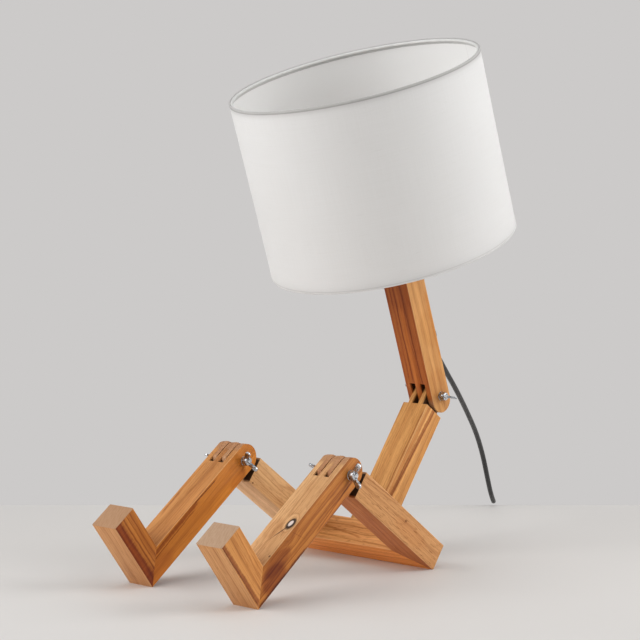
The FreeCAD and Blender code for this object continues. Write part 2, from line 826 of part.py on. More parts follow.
def make_plug():
    face = (plug_width, plug_thickness, plug_round)
    sections = [rounded_section(plug_entry, plug_entry, plug_entry_round, 0),
                rounded_section(plug_entry + 3, plug_entry, plug_entry_round, plug_length / 3),
                rounded_section(plug_waist, plug_waist_thickness, plug_round, plug_length / 2),
                rounded_section(*face, plug_shoulder),
                rounded_section(*face, plug_length)]
    body = Part.makeLoft(sections, True, True)
    pins = []
    for side in (-1, 1):
        face = Vector(side * pin_spacing / 2, plug_length, 0)
        pin = rod(pin_radius, face, face + Vector(0, pin_length, 0))
        rims = [e for e in pin.Edges if len(e.Vertexes) == 1 and e.Vertexes[0].Y > plug_length]
        pin = pin.makeFillet(pin_tip_round, rims)
        pins.append(pin.fuse(rod(pin_root_radius, face - Vector(0, pin_depth, 0), face)))
    pins = group(pins)
    return body.cut(pins), pins


def build_frame():
    save("crossbar", make_crossbar())
    save("torso", make_torso())
    save("torso_dowels", moved(torso_dowels(), seat_frame))
    save("hip_dowels", moved(group([hip_dowels(-1), hip_dowels(1)]), seat_frame))
    hinge_hardware("neck", neck_centre, neck_nut_turn, neck_screw_turn)
    sides = [("left", 1, left_nut_turn, left_screw_turn), ("right", -1, right_nut_turn, right_screw_turn)]
    for name, side, nut_turn, screw_turn in sides:
        save(name + "_thigh", make_thigh(side))
        save(name + "_shin", make_shin(side))
        save(name + "_foot", make_foot(side))
        save(name + "_foot_dowels", moved(foot_dowels(), leg_frame(side)))
        hinge_hardware(name + "_knee", leg_frame(side).Base, nut_turn, screw_turn)


def build_head():
    save("neck", make_neck())
    save("cord_gland", make_gland())
    flex = make_neck_flex()
    save("neck_flex", moved(tube(flex), neck_frame))
    pieces = {"holder_nipple": make_nipple(), "holder_cap": make_holder_cap(), "holder_core": make_holder_core(),
              "holder_body": make_holder_body(), "holder_sleeve": make_holder_sleeve(),
              "holder_contact": make_contact(), "shade_ring_nuts": make_ring_nuts(),
              "bulb_cap": make_bulb_cap(), "bulb_glass": make_bulb_glass(), "shade_cover": make_shade_cover(),
              "shade_top_ring": make_top_ring(), "shade_carrier": make_carrier()}
    for name, shape in pieces.items():
        save(name, moved(shape, holder_frame))


def build_cord():
    lead, lead_radii = rounded_route(lead_points())
    lead_tube = tube(lead)
    coil, coil_radii, tail, plug_way = coil_edges()
    coil_tube = tube(coil)
    save("cord_lead", lead_tube)
    save("cord_coil", coil_tube)
    print("lead radii", [round(r) for r in lead_radii])
    print("coil lead-in and tail radii", [round(r) for r in coil_radii])
    free = report_tube("lead", lead_tube, lead) + report_tube("coil", coil_tube, coil)
    print("free cord with the switch", round(free + switch_length + 2 * switch_entry_length, 1))
    print("least gap of the coil to itself", round(least_gap(coil), 2))
    pieces = {"switch_base": make_switch_base(), "switch_cover": make_switch_cover(),
              "switch_rocker": make_rocker(), "switch_screws": make_switch_screws()}
    for name, shape in pieces.items():
        save(name, moved(shape, switch_frame()))
    turn = Rotation(Vector(0, 1, 0), plug_way)
    body, pins = make_plug()
    save("plug_body", moved(body, Placement(tail, turn)))
    save("plug_pins", moved(pins, Placement(tail, turn)))


os.makedirs("parts", exist_ok=True)
build_frame()
build_head()
build_cord()
print("knee axis", knee_centre, "neck axis", neck_centre, "gland tip", gland_tip())
print("switch", switch_frame().Base, "pivot height", rocker_pivot, "heading", floor_heading)
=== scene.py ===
import bpy, bmesh, math
from mathutils import Matrix, Vector


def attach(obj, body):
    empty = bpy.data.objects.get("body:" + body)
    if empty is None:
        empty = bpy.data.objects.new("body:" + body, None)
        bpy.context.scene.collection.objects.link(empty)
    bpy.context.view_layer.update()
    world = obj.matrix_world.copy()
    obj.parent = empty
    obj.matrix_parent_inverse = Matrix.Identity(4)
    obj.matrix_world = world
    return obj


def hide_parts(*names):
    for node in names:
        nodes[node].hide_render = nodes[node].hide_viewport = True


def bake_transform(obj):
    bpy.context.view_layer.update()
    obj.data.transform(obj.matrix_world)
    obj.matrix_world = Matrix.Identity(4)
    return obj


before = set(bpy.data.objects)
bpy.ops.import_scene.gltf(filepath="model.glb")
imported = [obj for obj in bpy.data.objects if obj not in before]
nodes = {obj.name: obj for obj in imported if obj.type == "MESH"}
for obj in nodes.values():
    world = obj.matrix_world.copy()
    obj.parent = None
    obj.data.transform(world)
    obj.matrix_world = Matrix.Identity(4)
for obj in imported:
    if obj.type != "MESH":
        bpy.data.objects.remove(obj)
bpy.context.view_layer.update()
scene = bpy.context.scene
scene.view_settings.view_transform = "Standard"


# camera, at the photograph's viewing angle
view = {
    "azimuth": 42.838,
    "elevation": 3.914,
    "focalPixels": 1885.28,
    "pictureWide": 640,
    "sensor": 36,
    "place": (1.34729, -1.52862, 0.39993),
}


def viewAxes():
    turn, lift = math.radians(view["azimuth"]), math.radians(view["elevation"])
    back = Vector((math.sin(turn) * math.cos(lift), -math.cos(turn) * math.cos(lift), math.sin(lift)))
    right = Vector((math.cos(turn), math.sin(turn), 0))
    return right, back.cross(right), back


def setCamera():
    bpy.ops.object.camera_add()
    camera = bpy.context.object
    camera.name = "photoCamera"
    axes = Matrix(viewAxes()).transposed().to_4x4()
    camera.matrix_world = Matrix.Translation(view["place"]) @ axes
    camera.data.sensor_width = view["sensor"]
    camera.data.lens = view["focalPixels"] / view["pictureWide"] * view["sensor"]
    scene.camera = camera


setCamera()
print("camera set")


# tools of the bench
def letGo():
    if bpy.context.object and bpy.context.object.mode != "OBJECT":
        bpy.ops.object.mode_set(mode="OBJECT")
    bpy.ops.object.select_all(action="DESELECT")


def take(piece):
    letGo()
    piece.select_set(True)
    bpy.context.view_layer.objects.active = piece
    return piece


def edit(piece, kind="FACE"):
    take(piece)
    bpy.ops.object.mode_set(mode="EDIT")
    bpy.ops.mesh.select_mode(type=kind)
    return bmesh.from_edit_mesh(piece.data)


def editAll(piece, kind="FACE"):
    edit(piece, kind)
    bpy.ops.mesh.select_all(action="SELECT")


def turnOutward():
    bpy.ops.mesh.select_all(action="SELECT")
    bpy.ops.mesh.normals_make_consistent(inside=False)
    letGo()


def pickFaces(piece, test):
    mesh = edit(piece)
    bpy.ops.mesh.select_all(action="DESELECT")
    for face in mesh.faces:
        face.select_set(test(face))
    bmesh.update_edit_mesh(piece.data)


def sink(depth):
    bpy.ops.mesh.extrude_region_shrink_fatten(TRANSFORM_OT_shrink_fatten={"value": -depth})


def modify(piece, kind, **settings):
    take(piece)
    modifier = piece.modifiers.new(kind.title(), kind)
    for key, value in settings.items():
        setattr(modifier, key, value)
    bpy.ops.object.modifier_apply(modifier=modifier.name)


def easeEdges(piece, width, segments=2, limit=30, **settings):
    modify(piece, "BEVEL", width=width, segments=segments, limit_method="ANGLE",
           angle_limit=math.radians(limit), **settings)


def settle(piece):  # the place goes into the mesh
    take(piece)
    bpy.ops.object.transform_apply(location=True, rotation=True, scale=True)


def smooth(piece, angle=35):
    take(piece)
    bpy.ops.object.shade_smooth_by_angle(angle=math.radians(angle))


def finishPiece(piece, material, slot, body, *replaced):
    piece.data.materials.clear()
    piece.data.materials.append(material)
    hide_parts(*replaced)
    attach(piece, body)
    return piece


def copyOfNode(node, name, ease, segments=2, limit=30):
    # the node's own shape with its triangles merged to faces and its sharp edges eased
    piece = bpy.data.objects.new(name, nodes[node].data.copy())
    scene.collection.objects.link(piece)
    editAll(piece)
    bpy.ops.mesh.remove_doubles(threshold=0.000002)
    bpy.ops.mesh.customdata_custom_splitnormals_clear()
    bpy.ops.mesh.dissolve_limited(angle_limit=math.radians(0.3))
    letGo()
    if ease:
        easeEdges(piece, ease, segments, limit, use_clamp_overlap=True)
    smooth(piece)
    return piece


def latheCut(name, profile, steps, closed=True):
    # a profile of (radius, height) points is spun about the Z axis
    mesh = bpy.data.meshes.new(name)
    links = [(i, i + 1) for i in range(len(profile) - 1)]
    if closed:
        links.append((len(profile) - 1, 0))
    mesh.from_pydata([(radius, 0, height) for radius, height in profile], links, [])
    piece = bpy.data.objects.new(name, mesh)
    scene.collection.objects.link(piece)
    editAll(piece, "VERT")
    bpy.ops.mesh.spin(steps=steps, angle=2 * math.pi, center=(0, 0, 0), axis=(0, 0, 1))
    bpy.ops.mesh.select_all(action="SELECT")
    bpy.ops.mesh.remove_doubles(threshold=0.00001)
    turnOutward()
    return piece


def easedRim(inner, outer, low, high, innerEdge, outerEdge):
    # the profile of a flat ring with small chamfers
    return [(inner, low + innerEdge), (inner + innerEdge, low),
            (outer - outerEdge, low), (outer, low + outerEdge),
            (outer, high - outerEdge), (outer - outerEdge, high),
            (inner + innerEdge, high), (inner, high - innerEdge)]


def setAt(piece, place):
    piece.matrix_world = place @ piece.matrix_world
    bpy.context.view_layer.update()
    settle(piece)
    return piece


# places, worked out once
lamp = {
    "legX": 0.0755,
    "knee": (0, -0.131037, 0.115235),
    "neck": (0, 0.10505, 0.170681),
    "legTilt": 36.5,
    "neckLean": 19.1,
    "seat": (0, 0.000153, -0.0005),
}


def turnedAbout(point, degrees):
    return Matrix.Translation(point) @ Matrix.Rotation(math.radians(degrees), 4, "X")


seatPlace = turnedAbout(lamp["seat"], -lamp["legTilt"])
neckPlace = turnedAbout(lamp["neck"], lamp["neckLean"])
holderPlace = neckPlace @ Matrix.Translation((0, -0.005, 0.184))


def legPlace(side):
    return turnedAbout((side * lamp["legX"], *lamp["knee"][1:]), lamp["legTilt"] - 90)


def lying(place, spot, axis):  # a beam at right angles to the place's own Z axis
    return place @ Matrix.Translation(spot) @ Matrix.Rotation(math.radians(90), 4, axis)


# flex, one line from the gland on the neck through the switch and the coil to the plug
flex = {
    "radius": 0.003,
    "length": 1.755,
    "leaves": (0, 0.105988, 0.249976),
    "drop": [
        (-0.0008, 0.115035, 0.240641),
        (-0.008, 0.1235, 0.2295),
        (-0.0168, 0.139, 0.2135),
        (-0.0255, 0.1655, 0.1925),
        (-0.0395, 0.205, 0.164),
        (-0.057, 0.246, 0.135),
        (-0.075, 0.288, 0.103),
        (-0.0865, 0.316, 0.071),
        (-0.094, 0.3345, 0.0415),
        (-0.0995, 0.3475, 0.0225),
        (-0.105, 0.3595, 0.0105),
        (-0.111, 0.370, 0.0048),
        (-0.120, 0.3805, 0.00305),
    ],
    "touchDown": (-0.110, 0.373, 0),
    "heading": 133.0,
    "onTable": 0.00305,
    "switchLevel": 0.008,
    "switchFrom": 0.044,
    "switchTo": 0.112,
    "coilFrom": 0.152,
    "innerRadius": 0.025,
    "pitch": 0.0066,
    "layers": 5,
    "pointsPerHalfTurn": 8,
    "tail": 0.044,
    "plugLevel": 0.00685,
}


def floorWay(degrees):
    return Vector((math.cos(math.radians(degrees)), math.sin(math.radians(degrees)), 0))


def throughSwitch():
    way, down = floorWay(flex["heading"]), Vector(flex["touchDown"])
    level = Vector((0, 0, flex["switchLevel"]))
    spots = [flex["switchFrom"] - 0.012, flex["switchFrom"], flex["switchFrom"] + 0.03,
             flex["switchTo"] - 0.03, flex["switchTo"], flex["switchTo"] + 0.01]
    return [down + way * spot + level for spot in spots]


def coilTurns():
    # in along the lower layer, up in the innermost half turn and out along the upper layer
    way, left = floorWay(flex["heading"]), floorWay(flex["heading"] + 90)
    start = Vector(flex["touchDown"]) + way * flex["coilFrom"]
    start.z = flex["onTable"]
    points = [start - way * 0.010]
    count, side = flex["pointsPerHalfTurn"], 1
    for step in list(range(flex["layers"], 0, -1)) + [0] + list(range(1, flex["layers"] + 1)):
        radius = flex["innerRadius"] + step * flex["pitch"] / 2
        rise = 0 if step else flex["pitch"]
        middle = start + left * side * radius
        reach = radius / math.cos(math.pi / 2 / count)
        for index in range(count):
            angle = math.pi * (index + 0.5) / count
            point = middle + (way * math.sin(angle) - left * math.cos(angle)) * side * reach
            point.z = start.z + rise * (1 - math.cos(angle)) / 2
            points.append(point)
        start = start + left * side * 2 * radius + Vector((0, 0, rise))
        side = -side
    away = way * side
    last = start + away * flex["tail"]
    last.z = flex["plugLevel"]
    points += [start + away * 0.012, last - away * 0.012, last]
    return points, last, away


def flexLine():
    turns, plugSpot, plugWay = coilTurns()
    points = [Vector(flex["leaves"])] + [Vector(p) for p in flex["drop"]] + throughSwitch() + turns
    curve = bpy.data.curves.new("flexLine", "CURVE")
    curve.dimensions = "3D"
    curve.resolution_u = 6
    spline = curve.splines.new("NURBS")
    spline.points.add(len(points) - 1)
    for control, point in zip(spline.points, points):
        control.co = (*point, 1)
    spline.order_u = 3
    spline.use_endpoint_u = True
    line = bpy.data.objects.new("flexLine", curve)
    scene.collection.objects.link(line)
    return line, plugSpot, plugWay


def makeFlex():
    line, plugSpot, plugWay = flexLine()
    bpy.context.view_layer.update()
    thin = bpy.data.meshes.new_from_object(line)
    path = [tuple(vertex.co) for vertex in thin.vertices]
    line.data.bevel_depth = flex["radius"]
    line.data.bevel_resolution = 4
    line.data.use_fill_caps = True
    bpy.context.view_layer.update()
    tube = bpy.data.objects.new("mainsFlex", bpy.data.meshes.new_from_object(line))
    scene.collection.objects.link(tube)
    bpy.data.objects.remove(line)
    take(tube)
    bpy.ops.object.shade_smooth()
    return tube, path, plugSpot, plugWay


mainsFlex, flexPath, plugSpot, plugWay = makeFlex()
print("flex laid,", len(flexPath), "points")


# shader maths: a socket that can be added, multiplied and so on
class Wire:
    def __init__(self, paint, socket):
        self.paint, self.socket = paint, socket

    def sum(self, operation, *values):
        return self.paint.node("ShaderNodeMath", {"operation": operation}, dict(enumerate(values)))

    def __pow__(self, other):
        return self.sum("POWER", self, other)

    def __neg__(self):
        return self.sum("MULTIPLY", self, -1)

    def __abs__(self):
        return self.sum("ABSOLUTE", self)

    def exp(self):
        return self.sum("EXPONENT", self)

    def wave(self):
        return self.sum("SINE", self)

    def root(self):
        return self.sum("SQRT", self)

    def least(self, other):
        return self.sum("MINIMUM", self, other)

    def most(self, other):
        return self.sum("MAXIMUM", self, other)

    def step(self, low, high):  # soft step from 0 at low to 1 at high
        return self.paint.node("ShaderNodeMapRange", {"interpolation_type": "SMOOTHSTEP"},
                               {0: self, 1: low, 2: high})


for sign, operation in (("add", "ADD"), ("sub", "SUBTRACT"), ("mul", "MULTIPLY"), ("truediv", "DIVIDE")):
    setattr(Wire, f"__{sign}__", lambda self, other, kind=operation: self.sum(kind, self, other))
    setattr(Wire, f"__r{sign}__", lambda self, other, kind=operation: self.sum(kind, other, self))


class Paint:
    def __init__(self, name):
        self.material = bpy.data.materials.new(name)
        self.material.use_nodes = True
        self.tree = self.material.node_tree
        self.tree.nodes.clear()

    def node(self, kind, settings=None, values=None, output=0):
        made = self.tree.nodes.new(kind)
        for key, value in (settings or {}).items():
            setattr(made, key, value)
        for key, value in (values or {}).items():
            if isinstance(value, Wire):
                self.tree.links.new(value.socket, made.inputs[key])
            else:
                made.inputs[key].default_value = value
        return Wire(self, made.outputs[output]) if len(made.outputs) else None

    def spot(self, place=Matrix.Identity(4)):
        # object coordinates in a piece's own frame, in millimetres
        coordinates = self.node("ShaderNodeTexCoord", output="Object")
        values = {0: coordinates, 1: place.to_translation(), 2: place.to_euler(), 3: (0.001,) * 3}
        return self.node("ShaderNodeMapping", {"vector_type": "TEXTURE"}, values)

    def split(self, vector):
        parts = self.node("ShaderNodeSeparateXYZ", values={0: vector}).socket.node
        return [Wire(self, parts.outputs[i]) for i in range(3)]

    def join(self, x, y, z):
        return self.node("ShaderNodeCombineXYZ", values={0: x, 1: y, 2: z})

    def noise(self, vector, scale=1.0, detail=2.0, roughness=0.5):
        values = {"Vector": vector, "Scale": scale, "Detail": detail, "Roughness": roughness}
        return self.node("ShaderNodeTexNoise", values=values)

    def lineNoise(self, along, scale=1.0, detail=2.0, roughness=0.5):
        values = {"W": along, "Scale": scale, "Detail": detail, "Roughness": roughness}
        return self.node("ShaderNodeTexNoise", {"noise_dimensions": "1D"}, values)

    def mix(self, share, first, second, blend="MIX"):
        first, second = (end if isinstance(end, Wire) else (*end, 1) for end in (first, second))
        settings = {"data_type": "RGBA", "blend_type": blend}
        return self.node("ShaderNodeMix", settings, {0: share, 6: first, 7: second}, 2)

    def bump(self, height, strength, distance):
        values = {"Height": height, "Strength": strength, "Distance": distance}
        return self.node("ShaderNodeBump", values=values)

    def surface(self, **values):
        named = {key.replace("_", " "): value for key, value in values.items()}
        self.close(self.node("ShaderNodeBsdfPrincipled", values=named))

    def close(self, shader):
        self.node("ShaderNodeOutputMaterial", values={"Surface": shader})


class Stencil(Paint):
    # a mark that many finishes share: numbers in, one number out
    def __init__(self, name, inputs):
        self.tree = bpy.data.node_groups.new(name, "ShaderNodeTree")
        for title in inputs:
            self.tree.interface.new_socket(title, in_out="INPUT", socket_type="NodeSocketFloat")
        self.tree.interface.new_socket("Share", in_out="OUTPUT", socket_type="NodeSocketFloat")
        entry = self.tree.nodes.new("NodeGroupInput")
        self.given = [Wire(self, entry.outputs[title]) for title in inputs]

    def give(self, share):
        self.tree.links.new(share.socket, self.tree.nodes.new("NodeGroupOutput").inputs[0])

    def press(self, paint, *numbers):
        return paint.node("ShaderNodeGroup", {"node_tree": self.tree}, dict(enumerate(numbers)))


def tone(red, green, blue):
    # a colour as a screen shows it, 0 to 255
    def linear(value):
        value /= 255
        return value / 12.92 if value <= 0.04045 else ((value + 0.055) / 1.055) ** 2.4
    return linear(red), linear(green), linear(blue)


# wood
grain = {  # what each mark takes from the tone of its face
    "band": (0.80, 0.70, 0.60),
    "line": (0.60, 0.47, 0.36),
    "pale": (1.15, 1.19, 1.24),
    "pore": (0.40, 0.28, 0.20),
    # slot: painted shade for the slots and saw cuts between leaves
    "slot": tone(30, 13, 6),
    "sawn": tone(172, 126, 92),
    "knotRim": tone(28, 13, 8),
    "knotHeart": tone(236, 218, 208),
    # edge: painted highlight on the eased long edges
    "edge": tone(226, 182, 134),
}
sides = ("left", "right", "front", "back")
# each beam: its place, the tones of its four sides as a screen shows them, set side by side so that they hold
# painted light and shade along with the wood's own colour, where the heart of the tree lay, how strong lines
# and pores are on each side, which end has leaves, and its own marks
# a streak: from (across, along) to (across, along), half width, tint, strength
# a patch: side, middle, reach, tint, strength
beams = {
    "crossbar": {
        "place": lying(seatPlace, (0, -0.0175, 0.015), "Y"),
        "half": (15, 17.5), "body": "frame", "heart": (46, 34), "seed": 3.1,
        "litTones": ((229, 152, 82), (190, 132, 84), (209, 146, 85), (186, 128, 80)),
        "lines": (0.6, 0.6, 0.8, 0.6), "pores": (0.4, 0.6, 0.9, 0.5),
        "streaks": {
            "front": [
                ((-3, -60), (6, 10), 1.6, (0.62, 0.45, 0.3), 0.7),
                ((9, -50), (12, 60), 1.2, (0.66, 0.5, 0.36), 0.6),
            ],
            "left": [
                ((4, -70), (1, 80), 2.2, (0.72, 0.6, 0.5), 0.6),
                ((-8, -60), (-9, 70), 1.2, (0.68, 0.55, 0.45), 0.6),
            ],
        },
    },
    "left_thigh": {
        "place": lying(seatPlace, (0.0755, -0.1743, 0.015), "X"),
        "body": "frame", "heart": (44, 60), "seed": 7.7, "leafEnd": 1, "leafRise": 0,
        "litTones": ((199, 145, 92), (190, 134, 86), (174, 103, 52), (208, 156, 108)),
        "lines": (0.4, 0.4, 0.5, 0.5), "pores": (1, 0.9, 0.4, 0.7),
        "streaks": {
            "left": [
                ((15.2, -90), (10.6, -22), 0.9, (0.66, 0.52, 0.4), 0.8),
                ((12.5, -84), (6.5, -22), 0.7, (0.7, 0.57, 0.45), 0.7),
                ((9, -70), (2, -24), 0.6, (0.74, 0.62, 0.5), 0.5),
            ],
            "front": [
                ((-4, -140), (3, -60), 3, (0.72, 0.55, 0.48), 0.5),
            ],
        },
        "patches": [("left", (5, -103.9), (1.2, 1.6), (0.4, 0.27, 0.2), 0.9),
                    ("left", (-2, -120), (9, 34), (0.94, 0.86, 0.78), 0.8),
                    ("front", (4, -30), (9, 22), (1.22, 1.34, 1.42), 0.7)],
    },
    "right_thigh": {
        "place": lying(seatPlace, (-0.0755, -0.1743, 0.015), "X"),
        "body": "frame", "heart": (-62, 35), "seed": 12.4, "leafEnd": 1, "leafRise": 0,
        "litTones": ((210, 164, 112), (190, 134, 88), (221, 176, 130), (206, 154, 108)),
        "lines": (0.5, 0.5, 0.3, 0.5), "pores": (0.7, 0.7, 0.5, 0.6),
        "streaks": {
            "left": [
                ((0, -120), (4, -22), 0.8, (0.74, 0.62, 0.5), 0.6),
                ((-10, -110), (-6, -22), 0.8, (0.74, 0.62, 0.5), 0.6),
            ],
        },
        "patches": [("left", (-12.6, -25.3), (1.3, 1.5), (0.3, 0.2, 0.14), 0.9)],
    },
    "torso": {
        "place": seatPlace @ Matrix.Translation((0, -0.0175, 0.2)),
        "body": "frame", "heart": (58, -48), "seed": 17.9, "leafEnd": 1, "leafRise": 0,
        "litTones": ((207, 151, 88), (186, 128, 80), (202, 145, 82), (196, 140, 92)),
        "lines": (0.55, 0.6, 0.45, 0.5), "pores": (0.5, 0.6, 0.6, 0.6),
        "streaks": {
            "left": [
                ((-11.4, -178), (0.4, 2), 4, (0.5, 0.32, 0.18), 0.95),
                ((-10.2, -178), (1.8, 2), 1.3, (0.66, 0.5, 0.34), 0.85),
                ((-16, -178), (-8, 2), 3.6, (0.88, 0.74, 0.62), 0.8),
                ((-6, -178), (5, 2), 2.2, (1.1, 1.06, 0.98), 0.7),
                ((7.5, -175), (6.5, 10), 1, (0.76, 0.62, 0.48), 0.7),
                ((1.5, -175), (0.5, 10), 0.7, (0.8, 0.7, 0.58), 0.6),
            ],
            "front": [
                ((13.5, -175), (15.6, -30), 1.2, (0.52, 0.36, 0.23), 0.9),
                ((7.6, -175), (9.6, -30), 0.8, (0.7, 0.55, 0.42), 0.6),
                ((-8, -175), (-4, -10), 0.7, (0.78, 0.66, 0.55), 0.6),
            ],
        },
        "patches": [("left", (11, -60), (3, 60), (1, 0.92, 0.72), 0.7)],
    },
    "left_shin": {
        "place": legPlace(1),
        "body": "left_leg", "heart": (22, 52), "seed": 23.6, "leafEnd": 1,
        "litTones": ((180, 113, 48), (180, 124, 78), (210, 162, 112), (170, 112, 70)),
        "lines": (0.95, 0.6, 0.45, 0.6), "pores": (0.35, 0.5, 0.6, 0.6),
        "knots": [((10.5, -16.5, -85), (7, 5, 13), 9), ((15.5, -7, -102), (6, 6, 10), 7)],
        "streaks": {
            "left": [
                ((11.5, -70), (6, 4), 1.1, (0.52, 0.36, 0.26), 0.85),
                ((15.4, -86), (13.8, -18), 0.9, (0.5, 0.34, 0.24), 0.8),
                ((3.5, -84), (2, -18), 0.8, (0.62, 0.47, 0.36), 0.7),
                ((-4, -92), (-6, -28), 0.9, (0.62, 0.46, 0.34), 0.6),
                ((-12, -95), (2, -88), 0.9, (0.5, 0.34, 0.25), 0.8),
                ((8.5, -112), (-9, -106), 0.9, (0.5, 0.34, 0.25), 0.7),
                ((13.4, -172), (13.6, -92), 1.9, (0.36, 0.23, 0.16), 0.9),
            ],
            "front": [
                ((2.4, -105), (9.4, -91), 1.15, (0.13, 0.07, 0.05), 1),
                ((-2, -114), (3.2, -103), 0.5, (0.5, 0.36, 0.27), 0.8),
                ((3, -78), (2, -30), 0.6, (0.76, 0.65, 0.54), 0.7),
                ((-4.5, -140), (-6, -26), 0.6, (0.78, 0.67, 0.56), 0.7),
                ((-12, -140), (-11.5, -26), 0.6, (0.76, 0.64, 0.52), 0.7),
            ],
        },
        "patches": [("left", (-4, -128), (10, 22), (0.6, 0.44, 0.32), 0.9),
                    ("left", (6, -140), (13, 20), (0.6, 0.42, 0.32), 0.95),
                    ("left", (2, -20), (10, 20), (0.86, 0.78, 0.7), 0.6),
                    ("left", (12, -30), (4, 30), (1.14, 1.1, 1), 0.6),
                    ("front", (-6, -96), (9, 16), (0.86, 0.78, 0.7), 0.7),
                    ("front", (15.8, -131.4), (1.2, 1.5), (0.25, 0.16, 0.12), 0.9)],
        "hole": ((10.3, -85), (3.6, 5.4), "front"),
    },
    "right_shin": {
        "place": legPlace(-1),
        "body": "right_leg", "heart": (-52, 58), "seed": 29.2, "leafEnd": 1,
        "litTones": ((194, 119, 40), (176, 118, 72), (190, 131, 74), (160, 102, 62)),
        "lines": (0.3, 0.6, 0.5, 0.6), "pores": (0.25, 0.5, 0.5, 0.5),
        "streaks": {
            "left": [
                ((-13, -80), (-12.2, -42), 0.9, (0.22, 0.12, 0.07), 0.95),
                ((-10.2, -160), (-11.6, -76), 3, (0.5, 0.34, 0.22), 0.95),
                ((-5.5, -158), (-8, -84), 0.9, (0.42, 0.27, 0.17), 0.8),
            ],
            "front": [
                ((-12.8, -100), (-13.2, -66), 1.5, (0.66, 0.46, 0.36), 0.85),
                ((-13.6, -66), (-12.6, -24), 1.6, (0.92, 0.76, 0.55), 0.9),
                ((5, -140), (4, -24), 0.7, (0.8, 0.7, 0.6), 0.6),
                ((-5, -140), (-4, -24), 0.7, (0.8, 0.7, 0.6), 0.6),
            ],
        },
        "patches": [("left", (4, -160), (14, 30), (0.84, 0.74, 0.74), 0.9),
                    ("left", (9, -18), (6, 14), (0.8, 0.68, 0.56), 0.7),
                    ("front", (10, -80), (8, 60), (1.04, 1, 0.98), 0.7)],
    },
    "left_foot": {
        "place": lying(legPlace(1), (0, 0.015, -0.1593), "X"),
        "body": "left_leg", "heart": (58, -50), "seed": 34.4, "toe": 82.9, "sawn": (180, 149, 122),
        "litTones": ((202, 139, 74), (184, 130, 84), (193, 141, 91), (196, 142, 92)),
        "lines": (0.5, 0.5, 0.4, 0.5), "pores": (0.4, 0.5, 0.5, 0.5),
        "streaks": {
            "left": [
                ((-11, 3), (-12, 86), 3.2, (0.46, 0.29, 0.22), 0.95),
                ((-12.8, 3), (-13.6, 86), 0.7, (0.32, 0.2, 0.16), 0.7),
                ((4.5, 22), (9, 82), 0.9, (0.72, 0.57, 0.44), 0.7),
                ((-1.5, 12), (2, 82), 0.7, (0.76, 0.62, 0.5), 0.6),
            ],
            "front": [
                ((5.5, 4), (5, 84), 0.9, (0.8, 0.68, 0.58), 0.7),
                ((-5.5, 4), (-6, 84), 0.8, (0.82, 0.72, 0.62), 0.6),
            ],
        },
        "patches": [("left", (12, 50), (5, 40), (1.05, 1.04, 1), 0.6)],
    },
    "right_foot": {
        "place": lying(legPlace(-1), (0, 0.015, -0.1593), "X"),
        "body": "right_leg", "heart": (52, 44), "seed": 41.3, "toe": 82.9, "sawn": (172, 134, 102),
        "litTones": ((183, 113, 44), (176, 118, 72), (188, 136, 89), (190, 132, 80)),
        "lines": (0.8, 0.6, 0.35, 0.6), "pores": (0.4, 0.5, 0.4, 0.5),
        "streaks": {
            "left": [
                ((-10.5, -4), (-10.5, 90), 7.4, (0.46, 0.23, 0.1), 1),
                ((-1.5, 6), (-1.5, 90), 1.3, (0.5, 0.33, 0.2), 0.85),
                ((3, 16), (3.6, 90), 1, (0.56, 0.4, 0.26), 0.8),
                ((7.8, 22), (8.2, 90), 0.9, (0.66, 0.5, 0.35), 0.7),
                ((-13.2, 3), (-13.2, 86), 0.9, (0.66, 0.5, 0.42), 0.7),
            ],
            "front": [
                ((7.5, 4), (7, 84), 0.8, (0.82, 0.72, 0.62), 0.7),
            ],
        },
        "patches": [("left", (-6, 4), (12, 16), (0.72, 0.56, 0.46), 0.8)],
    },
    "neck": {
        "place": neckPlace,
        "body": "head", "heart": (-50, -62), "seed": 47.5, "leafEnd": -1,
        "litTones": ((196, 141, 82), (170, 110, 66), (170, 95, 38), (184, 128, 80)),
        "lines": (0.3, 0.6, 0.7, 0.5), "pores": (0.3, 0.5, 0.3, 0.5),
        "streaks": {
            "front": [
                ((-15.2, 0), (-14.6, 190), 2, (0.7, 0.54, 0.44), 0.85),
                ((-10, 24), (-9, 190), 1.5, (0.7, 0.54, 0.42), 0.8),
                ((-5.2, 24), (-4.6, 190), 1, (0.6, 0.42, 0.3), 0.85),
                ((-0.5, 18), (1.5, 110), 3.4, (1.26, 1.34, 1.3), 0.8),
                ((7.6, 18), (5.2, 190), 1.3, (0.56, 0.4, 0.3), 0.9),
                ((12, 18), (11.5, 190), 2.4, (0.98, 0.9, 0.86), 0.7),
                ((15.4, 20), (15.2, 120), 1.2, (0.8, 0.68, 0.56), 0.7),
            ],
            "left": [
                ((12.6, 40), (11, 120), 2.6, (0.92, 0.76, 0.5), 0.9),
                ((4.5, 10), (3.5, 150), 0.9, (0.86, 0.76, 0.66), 0.6),
            ],
        },
        "patches": [("front", (0, 150), (30, 50), (0.84, 0.74, 0.68), 0.8),
                    ("left", (0, 12), (16, 22), (0.92, 0.84, 0.76), 0.8),
                    ("left", (3, 80), (14, 22), (0.9, 0.84, 0.72), 0.7)],
    },
}


def faceShares(x, y, half):
    # how far a point belongs to the left, right, front or back face
    side = (abs(x) / half[0] - abs(y) / half[1]).step(-0.012, 0.012)
    left, front = x.step(-1.0, 1.0), y.step(1.0, -1.0)
    return {"left": side * left, "right": side * (1 - left),
            "front": (1 - side) * front, "back": (1 - side) * (1 - front)}


def onFaces(shares, amounts):
    return sum(shares[face] * amount for face, amount in zip(sides, amounts))


